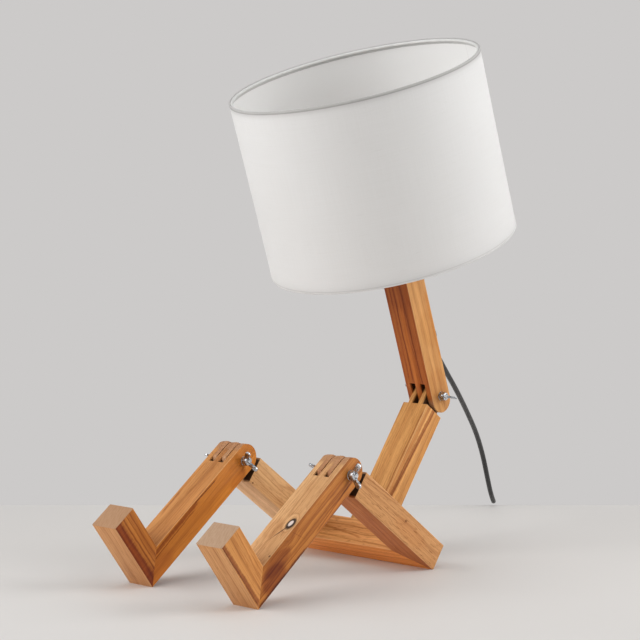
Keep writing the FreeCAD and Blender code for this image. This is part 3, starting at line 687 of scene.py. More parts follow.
def streakStencil():
    # a line of dark or pale grain on one face, a little wavy and ragged
    mark = Stencil("grainStreak", ["Across", "Along", "Face", "Start", "Slope", "From", "To", "Width", "Seed"])
    across, along, face, start, slope, low, high, width, seed = mark.given
    sway = mark.lineNoise(along + seed, 0.045, 2, 0.6) - 0.5
    rag = mark.lineNoise(along - seed, 0.3, 3, 0.7)
    away = abs(across - start - (along - low) * slope + sway * 2.2)
    ends = along.step(low - 4, low + 5) * along.step(high + 4, high - 5)
    body = (1 - away / (width * (0.7 + rag * 0.6))).step(0.0, 0.6)
    mark.give(body * ends * face * (0.72 + rag * 0.5).least(1.0))
    return mark


def patchStencil():
    # a stained or pale place on one face, with a ragged rim
    mark = Stencil("grainPatch", ["Across", "Along", "Face", "Rag", "Middle", "Height", "Wide", "Long"])
    across, along, face, rag, middle, height, wide, long = mark.given
    away = (((across - middle) / wide) ** 2 + ((along - height) / long) ** 2).root()
    mark.give((away + (rag - 0.5) * 0.6).step(1.15, 0.7) * face)
    return mark


streakMark, patchMark = streakStencil(), patchStencil()


def woodPaint(name, beam):
    paint = Paint(name + "Wood")
    spot = paint.spot(beam["place"])
    x, y, z = paint.split(spot)
    seed, half = beam["seed"], beam.get("half", (17.5, 15))
    shares = faceShares(x, y, half)
    # side tones: the wood's own colour with painted light and shade in it, one tone per face
    litTones = {face: tone(*value) for face, value in zip(sides, beam["litTones"])}
    colour = paint.mix(shares["front"], litTones["left"], litTones["front"])
    colour = paint.mix(shares["back"], colour, litTones["back"])
    colour = paint.mix(shares["right"], colour, litTones["right"])
    # growth rings about the heart, pushed aside by knots
    slow = paint.noise(paint.join(x * 0.016 + seed, y * 0.016, z * 0.007), 1, 2)
    quick = paint.noise(paint.join(x * 0.07, y * 0.07 + seed, z * 0.022), 1, 2)
    across = x - beam["heart"][0] + (slow - 0.5) * 18
    deep = y - beam["heart"][1] + (quick - 0.5) * 5
    ring = (across * across + deep * deep).root()
    for (kx, ky, kz), (rx, ry, rz), push in beam.get("knots", []):
        away = ((x - kx) / rx) ** 2 + ((y - ky) / ry) ** 2 + ((z - kz) / rz) ** 2
        ring = ring + push * (-away).exp()
    bands = paint.lineNoise(ring + seed * 11, 0.13, 2, 0.5)
    lines = paint.lineNoise(ring + seed * 5, 0.42, 3, 0.62)
    fine = paint.noise(paint.join(x * 0.9, y * 0.9 + seed, z * 0.022), 1, 3, 0.6)
    fibre = paint.noise(paint.join(x * 2.4, y * 2.4, z * 0.05), 1, 3, 0.65)
    slant = z + x * 0.5 + y * 0.5
    pores = paint.noise(paint.join(x * 1.15 + z * 0.03, y * 1.15, slant * 0.10 + seed), 1, 1, 0.4)
    cloud = paint.noise(paint.join(x * 0.05, y * 0.05 + seed, z * 0.018), 1, 3)
    lineShare, poreShare = onFaces(shares, beam["lines"]), onFaces(shares, beam["pores"])
    lineMask = lines.step(0.5, 0.66) * lineShare
    poreMask = pores.step(0.6, 0.68) * poreShare
    colour = paint.mix(bands.step(0.42, 0.62) * lineShare, colour, grain["band"], "MULTIPLY")
    colour = paint.mix(bands.step(0.5, 0.3) * 0.6, colour, grain["pale"], "MULTIPLY")
    colour = paint.mix(cloud.step(0.55, 0.75) * 0.6, colour, grain["band"], "MULTIPLY")
    colour = paint.mix(cloud.step(0.45, 0.28) * 0.5, colour, grain["pale"], "MULTIPLY")
    colour = paint.mix(lineMask * 0.8, colour, grain["line"], "MULTIPLY")
    colour = paint.mix(fine.step(0.5, 0.72) * 0.5, colour, grain["line"], "MULTIPLY")
    colour = paint.mix(fine.step(0.5, 0.3) * 0.45, colour, grain["pale"], "MULTIPLY")
    for face, middle, reach, tint, strength in beam.get("patches", []):
        side = y if face in ("left", "right") else x
        mask = patchMark.press(paint, side, z, shares[face], quick, *middle, *reach)
        colour = paint.mix(mask * strength, colour, tint, "MULTIPLY")
    for face, streaks in beam["streaks"].items():
        side = y if face in ("left", "right") else x
        for (start, low), (end, high), width, tint, strength in streaks:
            slope = (end - start) / (high - low)
            mask = streakMark.press(paint, side, z, shares[face], start, slope, low, high, width, seed + start * 7)
            colour = paint.mix(mask * strength, colour, tint, "MULTIPLY")
    colour = paint.mix(poreMask * 0.55, colour, grain["pore"], "MULTIPLY")
    hollow = 0.0
    if "hole" in beam:  # a knot that fell out
        (middle, along), reach, face = beam["hole"]
        away = (((x - middle) / reach[0]) ** 2 + ((z - along) / reach[1]) ** 2).root() + (quick - 0.5) * 0.5
        away = away + (x - middle) * 0.04
        hollow = away.step(1.25, 0.8) * shares[face]
        rim = away - (x - middle) * 0.05 + (z - along) * 0.05
        colour = paint.mix(rim.step(1.7, 1.05) * shares[face] * 0.95, colour, grain["knotRim"])
        colour = paint.mix((away + (z - along) * 0.07).step(0.74, 0.5) * shares[face] * 0.85, colour,
                           grain["knotHeart"])
    # painted highlight where light catches the eased long edges
    edgeHighlight = (abs(x) / half[0]).step(0.955, 0.99) * (abs(y) / half[1]).step(0.945, 0.985)
    colour = paint.mix(edgeHighlight * (0.35 + fine * 0.5), colour, grain["edge"])
    rough = 0.46 + fibre * 0.16 + poreMask * 0.2
    if "toe" in beam:  # the sawn end of a foot
        sawn = z.step(beam["toe"] - 0.6, beam["toe"] - 0.2)
        saw = paint.noise(paint.join(x * 0.5 + y * 0.12, y * 0.09 - x * 0.1, z), 1, 4, 0.7)
        face = paint.mix(saw.step(0.4, 0.65) * 0.55, tone(*beam["sawn"]), grain["band"], "MULTIPLY")
        colour = paint.mix(sawn, colour, face)
        rough = rough + sawn * 0.2
    if "leafEnd" in beam:  # sawn tops of the leaves, and painted shade in the slots between them
        up = z * beam["leafEnd"]
        rise = (up - beam.get("leafRise", 4)).most(0.0)
        depth = (y * y + rise * rise).root()
        flat = 1 - (abs(x) / half[0]).step(0.97, 0.995)
        topMask = up.step(-4.0, 3.0) * flat * depth.step(14.0, 14.6)
        saw = paint.noise(paint.join(x * 0.25, up * 0.9, y * 0.9 + seed), 1, 4, 0.7)
        face = paint.mix(saw.step(0.4, 0.62) * 0.7, grain["sawn"], grain["band"], "MULTIPLY")
        colour = paint.mix(topMask * 0.75, colour, face)
        if beam.get("leafRise") == 0:  # painted shade in the saw cuts beside the two inner leaves
            cut = abs(x - 3.5)
            cut = cut.step(8.1, 7.5) * cut.step(5.9, 6.5) * up.step(-6.0, 0.0) * depth.step(14.3, 14.7)
            colour = paint.mix(cut * 0.85, colour, grain["slot"])
        # painted shade deep in the slots between the leaves
        slot = up.step(-20.6, -20.2) * flat * depth.step(14.3, 12.0)
        colour = paint.mix(slot * 0.93, colour, grain["slot"])
    height = fine * 0.35 + fibre * 0.25 - lineMask * 0.3 - poreMask * 1.1 - hollow * 3.0
    paint.surface(Base_Color=colour, Roughness=rough, Normal=paint.bump(height, 0.4, 0.0003),
                  Specular_IOR_Level=0.22)
    return paint.material


def makeBeams():
    for name, beam in beams.items():
        piece = copyOfNode(name, name + "Beam", 0.0004)
        finishPiece(piece, woodPaint(name, beam), "wood", beam["body"], name)


makeBeams()
print("beams made")


# plain finishes
def zincPaint():
    paint = Paint("zincPlate")
    spot = paint.spot()
    # bright and dark zinc mixed by a cloud are painted reflection and some wear; the darkest patches are painted
    # reflections
    cloud = paint.noise(spot, 0.35, 3)
    fine = paint.noise(spot, 3.0, 2)
    darkReflection = paint.noise(spot, 0.55, 2)
    colour = paint.mix(cloud, tone(214, 218, 222), tone(150, 153, 158))
    colour = paint.mix(darkReflection.step(0.5, 0.62) * 0.75, colour, tone(84, 84, 88))
    paint.surface(Base_Color=colour, Metallic=1.0, Roughness=0.16 + cloud * 0.2,
                  Normal=paint.bump(fine * 0.6 + cloud, 0.25, 0.0002))
    return paint.material


def plasticPaint(name, colour, rough, grain, metallic=0.0):
    paint = Paint(name)
    spot = paint.spot()
    fine = paint.noise(spot, grain, 2)
    cloud = paint.noise(spot, 0.08, 2)
    tint = paint.mix(cloud, colour, tuple(c * 0.8 for c in colour))
    paint.surface(Base_Color=tint, Roughness=rough + (cloud - 0.5) * 0.12 + (fine - 0.5) * 0.1,
                  Metallic=metallic, Normal=paint.bump(fine, 0.3, 0.00008))
    return paint.material


zinc = zincPaint()
blackPlastic = plasticPaint("blackPlastic", tone(34, 34, 36), 0.42, 2.2)
bakelite = plasticPaint("bakelite", tone(26, 25, 25), 0.3, 0.7)
rockerPlastic = plasticPaint("rockerPlastic", tone(40, 40, 42), 0.22, 0.8)
flexSheath = plasticPaint("flexSheath", tone(20, 19, 20), 0.42, 0.9)
rubber = plasticPaint("glandRubber", tone(30, 30, 30), 0.6, 1.6)
dowelWood = plasticPaint("dowelBeech", tone(214, 178, 132), 0.6, 0.9)
ceramic = plasticPaint("ceramic", tone(226, 222, 212), 0.2, 0.3)
brassSheet = plasticPaint("brassSheet", tone(206, 168, 92), 0.3, 0.6, 1.0)
aluminium = plasticPaint("aluminiumSheet", tone(205, 206, 208), 0.32, 0.6, 1.0)
pinMetal = plasticPaint("nickelPins", tone(196, 192, 184), 0.25, 0.6, 1.0)
whiteWire = plasticPaint("whiteWire", tone(226, 226, 224), 0.4, 0.7)
opal = plasticPaint("opalGlass", tone(240, 240, 236), 0.12, 0.1)


def dressNodes():
    carried = {
        "zinc_steel": (zinc, ["holder_nipple"]),
        "dowel_wood": (dowelWood, ["hip_dowels", "torso_dowels", "left_foot_dowels", "right_foot_dowels"]),
        "white_ceramic": (ceramic, ["holder_core"]),
        "brass": (brassSheet, ["holder_contact"]),
        "bare_aluminium": (aluminium, ["holder_sleeve"]),
        "white_wire": (whiteWire, ["shade_carrier", "shade_top_ring"]),
        "black_flex": (flexSheath, ["neck_flex"]),
    }
    for paint, names in carried.values():
        for name in names:
            mesh = nodes[name].data
            if mesh.materials:
                mesh.materials[0] = paint
            else:
                mesh.materials.append(paint)


dressNodes()


# wing nuts, wing screws and washers, cast and zinc plated
wing = {
    "hubFoot": 0.0052, "hubTop": 0.0043, "hubHeight": 0.0065, "hubEdge": 0.0004,
    "tipHeight": 0.01, "tipReach": 0.01, "tipRadius": 0.003, "thick": 0.0024,
    "rootReach": 0.003, "rootLow": 0.0014, "rootLong": 0.001, "rootThick": 0.00276,
    "cast": 0.00036,  # grain of the casting
    "shank": 0.0025, "shankLength": 0.0443, "threaded": 0.0115, "pitch": 0.0008, "threadDeep": 0.0003,
    "bore": 0.00256,
    "washerRadius": 0.0052, "washerBore": 0.00265, "washerThick": 0.001, "washerEdge": 0.0002,
    "reach": 0.0185,  # from the beam's middle to the outer face of the washer
}
# each hinge: where its beam stands, its axis, the screw's body, the turns of the nut and of the screw
hinges = {
    "left_knee": (lamp["legX"], lamp["knee"], "left_leg", 0.0, 51.5),
    "right_knee": (-lamp["legX"], lamp["knee"], "right_leg", 33.4, 75.0),
    "neck": (0.0, lamp["neck"], "head", 78.0, 20.0),
}


def joinAll(*pieces):
    letGo()
    for piece in pieces:
        piece.select_set(True)
    bpy.context.view_layer.objects.active = pieces[0]
    bpy.ops.object.join()
    return pieces[0]


def wingHead():
    # one wing is the hull of its round tip and its root, the other is its copy turned about the hub
    bpy.ops.mesh.primitive_cylinder_add(vertices=28, radius=wing["tipRadius"], depth=wing["thick"],
                                        location=(wing["tipReach"], 0, wing["tipHeight"]),
                                        rotation=(math.pi / 2, 0, 0))
    blade = bpy.context.object
    settle(blade)
    foot, top, high, low, edge = (wing[key] for key in ("hubFoot", "hubTop", "hubHeight", "rootLow", "hubEdge"))
    long = wing["rootLong"]
    bpy.ops.mesh.primitive_cube_add(size=1, location=(wing["rootReach"] - long / 2, 0, (high + low) / 2),
                                    scale=(long, wing["rootThick"], high - low))
    root = bpy.context.object
    settle(root)
    joinAll(blade, root)
    editAll(blade, "VERT")
    bpy.ops.mesh.convex_hull()
    bpy.ops.mesh.duplicate()
    bpy.ops.transform.rotate(value=math.pi, orient_axis="Z", center_override=(0, 0, 0))
    turnOutward()
    hub = latheCut("hub", [(0, 0), (foot - edge, 0), (foot, edge), (foot - edge / 4, edge * 3),
                           (top + edge / 2, high - edge * 2), (top - edge * 1.5, high), (0, high)],
                   40, closed=False)
    head = joinAll(hub, blade)
    modify(head, "REMESH", mode="VOXEL", voxel_size=wing["cast"])
    modify(head, "SMOOTH", factor=0.5, iterations=4)
    return head


def boreThrough(piece, radius, low, high):
    bpy.ops.mesh.primitive_cylinder_add(vertices=40, radius=radius, depth=high - low,
                                        location=(0, 0, (low + high) / 2))
    drill = bpy.context.object
    settle(drill)
    modify(piece, "BOOLEAN", operation="DIFFERENCE", object=drill, solver="EXACT")
    bpy.data.objects.remove(drill)


def threadedShank():
    radius, top, pitch, intoHub = wing["shank"], wing["shankLength"], wing["pitch"], 0.001
    low = top - wing["threaded"]
    profile = [(0, -intoHub), (radius, -intoHub), (radius, low)]
    for turn in range(int(wing["threaded"] / pitch) - 1):
        level = low + turn * pitch
        profile += [(radius - wing["threadDeep"], level + pitch / 2), (radius - 0.00002, level + pitch)]
    profile += [(radius - 0.0005, top), (0, top)]
    return latheCut("shank", profile, 32, closed=False)


def ownCopy(piece, name):
    twin = piece.copy()
    twin.data = piece.data.copy()
    twin.name = name
    scene.collection.objects.link(twin)
    return twin


def makeHardware():
    nut = wingHead()
    screw = ownCopy(nut, "wingScrew")
    boreThrough(nut, wing["bore"], -0.001, wing["hubHeight"] + 0.0015)
    easeEdges(nut, 0.0002, 2, 50)
    shank = threadedShank()
    take(shank)
    shank.rotation_euler = (math.pi, 0, 0)
    settle(shank)
    joinAll(screw, shank)
    half, edge = wing["washerThick"] / 2, wing["washerEdge"]
    washer = latheCut("washer", easedRim(wing["washerBore"], wing["washerRadius"], -half, half, edge, edge), 48)
    for piece in (nut, screw, washer):
        smooth(piece, 40)
    outward = Matrix.Rotation(math.pi / 2, 4, "Y")  # the hub's axis comes from Z to X
    reach = wing["reach"]
    for name, (x, centre, body, nutTurn, screwTurn) in hinges.items():
        nutPlace = turnedAbout((x + reach, *centre[1:]), nutTurn) @ outward
        piece = setAt(ownCopy(nut, name + "WingNut"), nutPlace)
        finishPiece(piece, zinc, "zinc_steel", name + "_wing_nut", name + "_nut")
        screwPlace = turnedAbout((x - reach, *centre[1:]), screwTurn) @ Matrix.Rotation(math.pi, 4, "Z") @ outward
        piece = setAt(ownCopy(screw, name + "WingScrew"), screwPlace)
        finishPiece(piece, zinc, "zinc_steel", body, name + "_screw")
        pair = [setAt(ownCopy(washer, name + "Washers"), turnedAbout((x + side, *centre[1:]), 0) @ outward)
                for side in (reach - half, half - reach)]
        finishPiece(joinAll(*pair), zinc, "zinc_steel", body, name + "_washers")
    for piece in (nut, screw, washer):
        bpy.data.objects.remove(piece)


makeHardware()
print("wing nuts, screws and washers made")


# rubber boot where the flex leaves the neck
boot = {
    "foot": (0, 0.086502, 0.270083),  # on the neck's back face
    "way": (0, 0.6959, -0.7181),
    "inside": 0.012, "length": 0.028,
    "plug": 0.00445, "mouth": 0.0112, "root": 0.0051, "tip": 0.0036,
    "bore": 0.00305, "edge": 0.0003,
    "ribs": 6, "ribDeep": 0.0007,
}


def makeBoot():
    inside, mouth, root, tip, length = (boot[key] for key in ("inside", "mouth", "root", "tip", "length"))
    bore, plug, edge, ribs = (boot[key] for key in ("bore", "plug", "edge", "ribs"))
    start, end = mouth + 0.0022, length - 0.0014
    profile = [(bore, -inside), (plug, -inside), (plug, mouth), (root - edge, mouth), (root, mouth + edge),
               (root, mouth + 0.0014), (root - edge, mouth + 0.0018)]
    step = (end - start) / ribs
    for rib in range(ribs):
        radius = root + (tip - root) * rib / ribs
        low, floor, crest = start + step * rib, radius - boot["ribDeep"], radius - 0.0001
        profile += [(floor, low), (floor, low + step * 0.3), (crest, low + step * 0.42),
                    (crest, low + step * 0.85), (radius - 0.00035, low + step * 0.95)]
    ease = 0.0002
    profile += [(tip - ease, end), (tip - ease, length - edge), (bore + ease, length), (bore, length - ease)]
    piece = latheCut("flexBoot", profile, 40)
    way = Vector(boot["way"]).to_track_quat("Z", "Y").to_matrix().to_4x4()
    setAt(piece, Matrix.Translation(boot["foot"]) @ way)
    smooth(piece, 40)
    finishPiece(piece, rubber, "black_rubber", "head", "cord_gland")


makeBoot()
print("boot made")


# lamp holder under the shade
holder = {
    "ringRadius": 0.027, "ringBore": 0.0196, "ringHeight": 0.005, "ringLevels": (0.021, 0.028),
    "notches": 10, "notchDeep": 0.0016,
    "body": 0.0195, "bodyLow": 0.02, "bodyTop": 0.056, "wall": 0.0024, "thread": 0.0014,
    "skirt": 0.0177, "seat": 0.014, "core": 0.0157,
    "cap": 0.02, "capHeight": 0.02, "capWall": 0.0022, "capCorner": 0.005, "nipple": 0.005,
}


def makeHolder():
    cap, high, wall, corner = (holder[key] for key in ("cap", "capHeight", "capWall", "capCorner"))
    profile = [(holder["nipple"], 0.0004), (holder["nipple"] + 0.0004, 0)]
    profile += [(cap - corner - 0.0012, 0), (cap - corner - 0.0006, 0.0006), (cap - corner, 0.0006)]
    for step in range(1, 9):
        angle = math.pi / 2 * step / 8
        profile.append((cap - corner + math.sin(angle) * corner, corner - math.cos(angle) * (corner - 0.0006)))
    profile += [(cap, high - 0.0032), (cap - 0.0005, high - 0.0029), (cap - 0.0005, high - 0.0023),
                (cap, high - 0.002), (cap, high - 0.0003), (cap - 0.0003, high), (cap - wall, high),
                (cap - wall, corner + wall / 2), (cap - corner - wall / 2, wall), (holder["nipple"], wall)]
    piece = latheCut("holderCap", profile, 72)
    grip(piece, 36, cap, 0.0062, high - 0.0045, 0.0005)
    finishPiece(setAt(piece, holderPlace), bakelite, "black_plastic", "head", "holder_cap")

    body, low, top, pitch = holder["body"], holder["bodyLow"], holder["bodyTop"], holder["thread"]
    profile = [(holder["core"], holder["seat"]), (holder["skirt"], holder["seat"]), (holder["skirt"], low),
               (body - 0.0003, low), (body, low + 0.0003)]
    level = low + 0.001
    while level < top - 0.009:  # the thread that the ring nuts run on
        profile += [(body - 0.00055, level + pitch / 2), (body - 0.00002, level + pitch)]
        level += pitch
    profile += [(body, top - 0.0006), (body - 0.0006, top), (body - holder["wall"] + 0.0004, top),
                (body - holder["wall"], top - 0.0004), (body - holder["wall"], holder["seat"] + 0.01),
                (holder["core"], holder["seat"] + 0.01)]
    piece = latheCut("holderBody", profile, 72)
    finishPiece(setAt(piece, holderPlace), bakelite, "black_plastic", "head", "holder_body")

    rings = []
    for level in holder["ringLevels"]:
        radius, top = holder["ringRadius"], level + holder["ringHeight"]
        ring = latheCut("shadeRingNuts", easedRim(holder["ringBore"], radius, level, top, 0.0003, 0.0006), 80)
        grip(ring, holder["notches"], radius, level, top, holder["notchDeep"])
        rings.append(ring)
    piece = setAt(joinAll(*rings), holderPlace)
    finishPiece(piece, bakelite, "black_plastic", "head", "shade_ring_nuts")


def grip(piece, count, radius, low, high, depth):
    # every second strip of the rim is sunk
    def sunk(face):
        centre = face.calc_center_median()
        turn = math.atan2(centre.y, centre.x) / (2 * math.pi) * count
        outside = math.hypot(centre.x, centre.y) > radius - 0.0004 and abs(face.normal.z) < 0.3
        return outside and low < centre.z < high and turn % 1 < 0.5
    pickFaces(piece, sunk)
    sink(depth)
    turnOutward()
    easeEdges(piece, 0.00018, 2, 35)
    smooth(piece, 40)


makeHolder()
print("holder made")


# bulb: opal glass and a threaded cap
bulb = {
    "base": 0.026, "length": 0.11, "globe": 0.03, "neck": 0.0124, "blend": 0.03, "wall": 0.0008,
    "cap": 0.0132, "capHeight": 0.026, "tip": 0.0045, "taper": 0.005, "thread": 0.0026,
}


def glassLine(inset):
    # one side of the glass: straight neck, hollow shoulder, round crown
    globe, neck = bulb["globe"] - inset, bulb["neck"] - inset
    centre, blend = bulb["base"] + bulb["length"] - bulb["globe"], bulb["base"] + bulb["blend"]
    drop = centre - blend
    hollow = (drop ** 2 - globe ** 2 + neck ** 2) / (2 * (globe - neck))
    lean = math.atan2(drop, neck + hollow)
    points = [(neck, bulb["base"] + bulb["taper"] + bulb["wall"] * 3)]
    for step in range(13):
        angle = math.pi - lean * step / 12
        points.append((neck + hollow + math.cos(angle) * hollow, blend + math.sin(angle) * hollow))
    for step in range(1, 33):
        angle = -lean + (math.pi / 2 + lean) * step / 32
        points.append((math.cos(angle) * globe if step < 32 else 0.0, centre + math.sin(angle) * globe))
    return points


def makeBulb():
    outer, inner = glassLine(0), glassLine(bulb["wall"])
    piece = latheCut("bulbGlass", outer + inner[::-1], 72)
    setAt(piece, holderPlace)
    smooth(piece, 60)
    finishPiece(piece, opal, "bulb_glass", "head", "bulb_glass")
    base, radius, pitch = bulb["base"], bulb["cap"], bulb["thread"]
    profile = [(0, base), (bulb["tip"] - 0.0006, base), (bulb["tip"], base + 0.0006),
               (bulb["tip"] + 0.0008, base + 0.0012), (radius - 0.0016, base + bulb["taper"])]
    level = base + bulb["taper"]
    while level + pitch < base + bulb["capHeight"] - 0.003:
        for share, sink in ((0.25, 0.0003), (0.5, 0.0), (0.75, 0.0003), (1.0, 0.0011)):
            profile.append((radius - sink, level + pitch * share))
        level += pitch
    top, inner = base + bulb["capHeight"], bulb["neck"] + 0.00005
    floor = base + bulb["taper"] + bulb["wall"] * 2
    profile += [(radius - 0.0003, top - 0.002), (radius, top - 0.0012), (radius - 0.0001, top - 0.0002),
                (inner + 0.0002, top), (inner, top - 0.0002), (inner, floor), (0, floor)]
    piece = latheCut("bulbCap", profile, 56, closed=False)
    setAt(piece, holderPlace)
    smooth(piece, 50)
    finishPiece(piece, aluminium, "bare_aluminium", "head", "bulb_cap")


makeBulb()
print("bulb made")


# switch and plug on the flex
def makeSwitch():
    rows = (("switch_base", "switchBase", 0.0006, blackPlastic, "black_plastic", "frame"),
            ("switch_cover", "switchCover", 0.0005, blackPlastic, "black_plastic", "frame"),
            ("switch_rocker", "switchRocker", 0.0004, rockerPlastic, "rocker_plastic", "rocker"),
            ("switch_screws", "switchScrews", 0.0002, zinc, "zinc_steel", "frame"))
    return [finishPiece(copyOfNode(node, name, ease, 3, 28), paint, slot, body, node)
            for node, name, ease, paint, slot, body in rows]


plug = {"ridges": 5, "firstRidge": 0.0125, "ridgeStep": 0.0026, "ridgeWide": 0.0011, "ridgeDeep": 0.00055,
        "waist": 0.003, "edge": 0.0003}


def plugFrame():
    # the plug's own frame: entry at the origin, pins towards Y
    turn = math.atan2(-plugWay.x, plugWay.y)
    return Matrix.Translation(plugSpot) @ Matrix.Rotation(turn, 4, "Z")


def makePlug():
    body = copyOfNode("plug_body", "plugBody", 0)
    place = plugFrame()
    back, way = place.inverted(), (place.to_3x3() @ Vector((0, 1, 0)))
    for index in range(plug["ridges"]):  # grip ridges across the waist
        low = plug["firstRidge"] + index * plug["ridgeStep"]
        high = low + plug["ridgeWide"]
        for cut in (low, high):
            editAll(body)
            bpy.ops.mesh.bisect(plane_co=place @ Vector((0, cut, 0)), plane_no=way)
            letGo()

        def between(face):
            spot = back @ face.calc_center_median()
            return low < spot.y < high and abs(face.normal.dot(way)) < 0.6 and abs(spot.x) > plug["waist"]
        pickFaces(body, between)
        sink(plug["ridgeDeep"])
        letGo()
    easeEdges(body, plug["edge"], 2, 32)
    smooth(body, 40)
    finishPiece(body, blackPlastic, "black_plastic", "frame", "plug_body")
    pins = copyOfNode("plug_pins", "plugPins", 0)
    finishPiece(pins, pinMetal, "pin_metal", "frame", "plug_pins")
    return [body, pins]


onTheFlex = makeSwitch() + makePlug()
print("switch and plug made")


# flex: black round sheath
mainsFlex.data.materials.clear()
mainsFlex.data.materials.append(flexSheath)
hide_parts("cord_lead", "cord_coil")
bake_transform(mainsFlex)


# shade: white cloth on a stiff drum, rolled round a wire at both ends
shade = {
    "radius": 0.137,
    "wall": 0.0012,
    "bottom": 0.1772 - 0.184,
    "height": 0.1992,
    "steps": 192,
    "seam": 0.155,  # along the cloth, round the drum
}


def clothPaint():
    paint = Paint("shadeCloth")
    way = paint.node("ShaderNodeUVMap", {"uv_map": "cloth"})
    u, v, _ = paint.split(way)
    x, y, z = paint.split(paint.spot(holderPlace))
    top, low = (shade["bottom"] + shade["height"]) * 1000, shade["bottom"] * 1000
    inside = (x * x + y * y).root().step(136.5, 136.1)
    warp = paint.noise(paint.join(u * 900, v * 14, 0.0), 1, 2)
    weft = paint.noise(paint.join(u * 14, v * 900, 4.0), 1, 2)
    threads = (u * 5200).wave() * (v * 5200).wave()
    slub = paint.noise(paint.join(u * 60, v * 420, 9.0), 1, 2).step(0.62, 0.75)
    cloud = paint.noise(paint.join(u * 9, v * 9, 2.0), 1, 2)
    rag = paint.noise(paint.join(u * 120, 0.0, 5.0), 1, 2)
    share = (warp + weft) * 0.5
    colour = paint.mix(share, tone(224, 224, 223), tone(238, 239, 240))
    colour = paint.mix(cloud * 0.25, colour, tone(225, 223, 221))
    colour = paint.mix(slub * 0.2, colour, tone(213, 212, 210))
    # the inner wall is paler: its white liner, lifted further as painted light on the inside
    colour = paint.mix(inside, colour, tone(252, 252, 251))
    # the hem tape glued inside the top and the foot; painted shadow in the groove under each rolled edge, and a
    # soft painted shadow below the top one
    tape = inside * (z + rag * 0.8).step(top - 6.2, top - 5.6)
    tape = tape + inside * (z - rag * 0.8).step(low + 6.2, low + 5.6)
    colour = paint.mix(tape * 0.8, colour, tone(168, 166, 164))
    shadedGroove = (1 - inside) * ((z - top + 2.5) / 0.75 * ((z - top + 2.5) / 0.75)).step(1.0, 0.2)
    soft = (1 - inside) * z.step(top - 8.5, top - 2.2) * z.step(top - 1.4, top - 2.2)
    roll = z.step(top - 2.4, top - 1.8)
    foot = (1 - inside) * ((z - low - 2.5) / 0.6 * ((z - low - 2.5) / 0.6)).step(1.0, 0.2)
    # painted shadow below the top roll and in the grooves under both rolled edges
    colour = paint.mix(soft * 0.3, colour, tone(176, 174, 171))
    colour = paint.mix(roll * 0.75, colour, tone(178, 176, 174))
    colour = paint.mix(shadedGroove * 0.75 + foot * 0.3, colour, tone(138, 136, 134))
    seam = paint.lineNoise(v * 30.0) * 0.0006 + u - shade["seam"]
    seam = seam.step(-0.0004, 0.0) * seam.step(0.0011, 0.0007)
    colour = paint.mix(seam * 0.16, colour, tone(170, 168, 165))
    height = threads * 0.5 + share * 0.8 + slub * 0.6 + seam * 1.5 + tape * 1.2 - shadedGroove * 2.0
    cloth = paint.node("ShaderNodeBsdfPrincipled", values={
        "Base Color": colour, "Roughness": 0.75 + (warp - 0.5) * 0.1, "Specular IOR Level": 0.25,
        "Sheen Weight": 0.2, "Sheen Roughness": 0.5, "Normal": paint.bump(height, 0.25, 0.0001)})
    through = paint.node("ShaderNodeBsdfTranslucent", values={"Color": (0.84, 0.835, 0.83, 1)})
    both = paint.node("ShaderNodeMixShader", values={0: 0.36, 1: cloth, 2: through})
    paint.close(both)
    return paint.material


def drumProfile():
    low, high = shade["bottom"], shade["bottom"] + shade["height"]
    outer, inner, roll = shade["radius"], shade["radius"] - shade["wall"], 0.0011
    points = []
    for index in range(9):  # rolled lower edge
        angle = math.pi + math.pi * index / 8
        points.append((outer - roll + math.cos(angle) * roll, low + roll + math.sin(angle) * roll))
    points += [(outer, low + 0.004), (outer - 0.0003, low + 0.012), (outer - 0.0004, low + 0.05),
               (outer - 0.0004, high - 0.05), (outer - 0.0003, high - 0.012), (outer, high - 0.004)]
    for index in range(9):
        angle = math.pi * index / 8
        points.append((outer - roll + math.cos(angle) * roll, high - roll + math.sin(angle) * roll))
    points += [(inner, high - 0.011), (inner, high - 0.0112), (inner, low + 0.0112), (inner, low + 0.011)]
    return points


def clothMap(piece, place):
    # the cloth's own map in metres: round the drum and up it
    layer = piece.data.uv_layers.new(name="cloth")
    back = place.inverted()
    for face in piece.data.polygons:
        turns = []
        for corner in face.loop_indices:
            spot = back @ piece.data.vertices[piece.data.loops[corner].vertex_index].co
            turns.append((corner, math.atan2(spot.y, spot.x), spot.z, math.hypot(spot.x, spot.y)))
        first = turns[0][1]
        for corner, turn, level, radius in turns:
            while turn - first > math.pi:
                turn -= 2 * math.pi
            while turn - first < -math.pi:
                turn += 2 * math.pi
            layer.data[corner].uv = (turn * shade["radius"], level)


def makeShade():
    drum = latheCut("shadeDrum", drumProfile(), shade["steps"])
    setAt(drum, holderPlace)
    clothMap(drum, holderPlace)
    smooth(drum, 50)
    finishPiece(drum, clothPaint(), "shade_cloth", "head", "shade_cover")


makeShade()
print("shade made")


# floor, wall and light
room = {
    "floorTone": tone(214, 211, 208),
    "floorGlow": tone(246, 242, 238),
    "wallTone": tone(204, 202, 201),
    "wallBehind": 0.348,  # along the view, from the origin
    "floorSize": 14.0,
    "wallWide": 12.0,
    "wallHigh": 5.0,
    "fill": 0.42,
    "hazeFrom": 300.0, "hazeTo": 1050.0,  # millimetres from the lamp
}


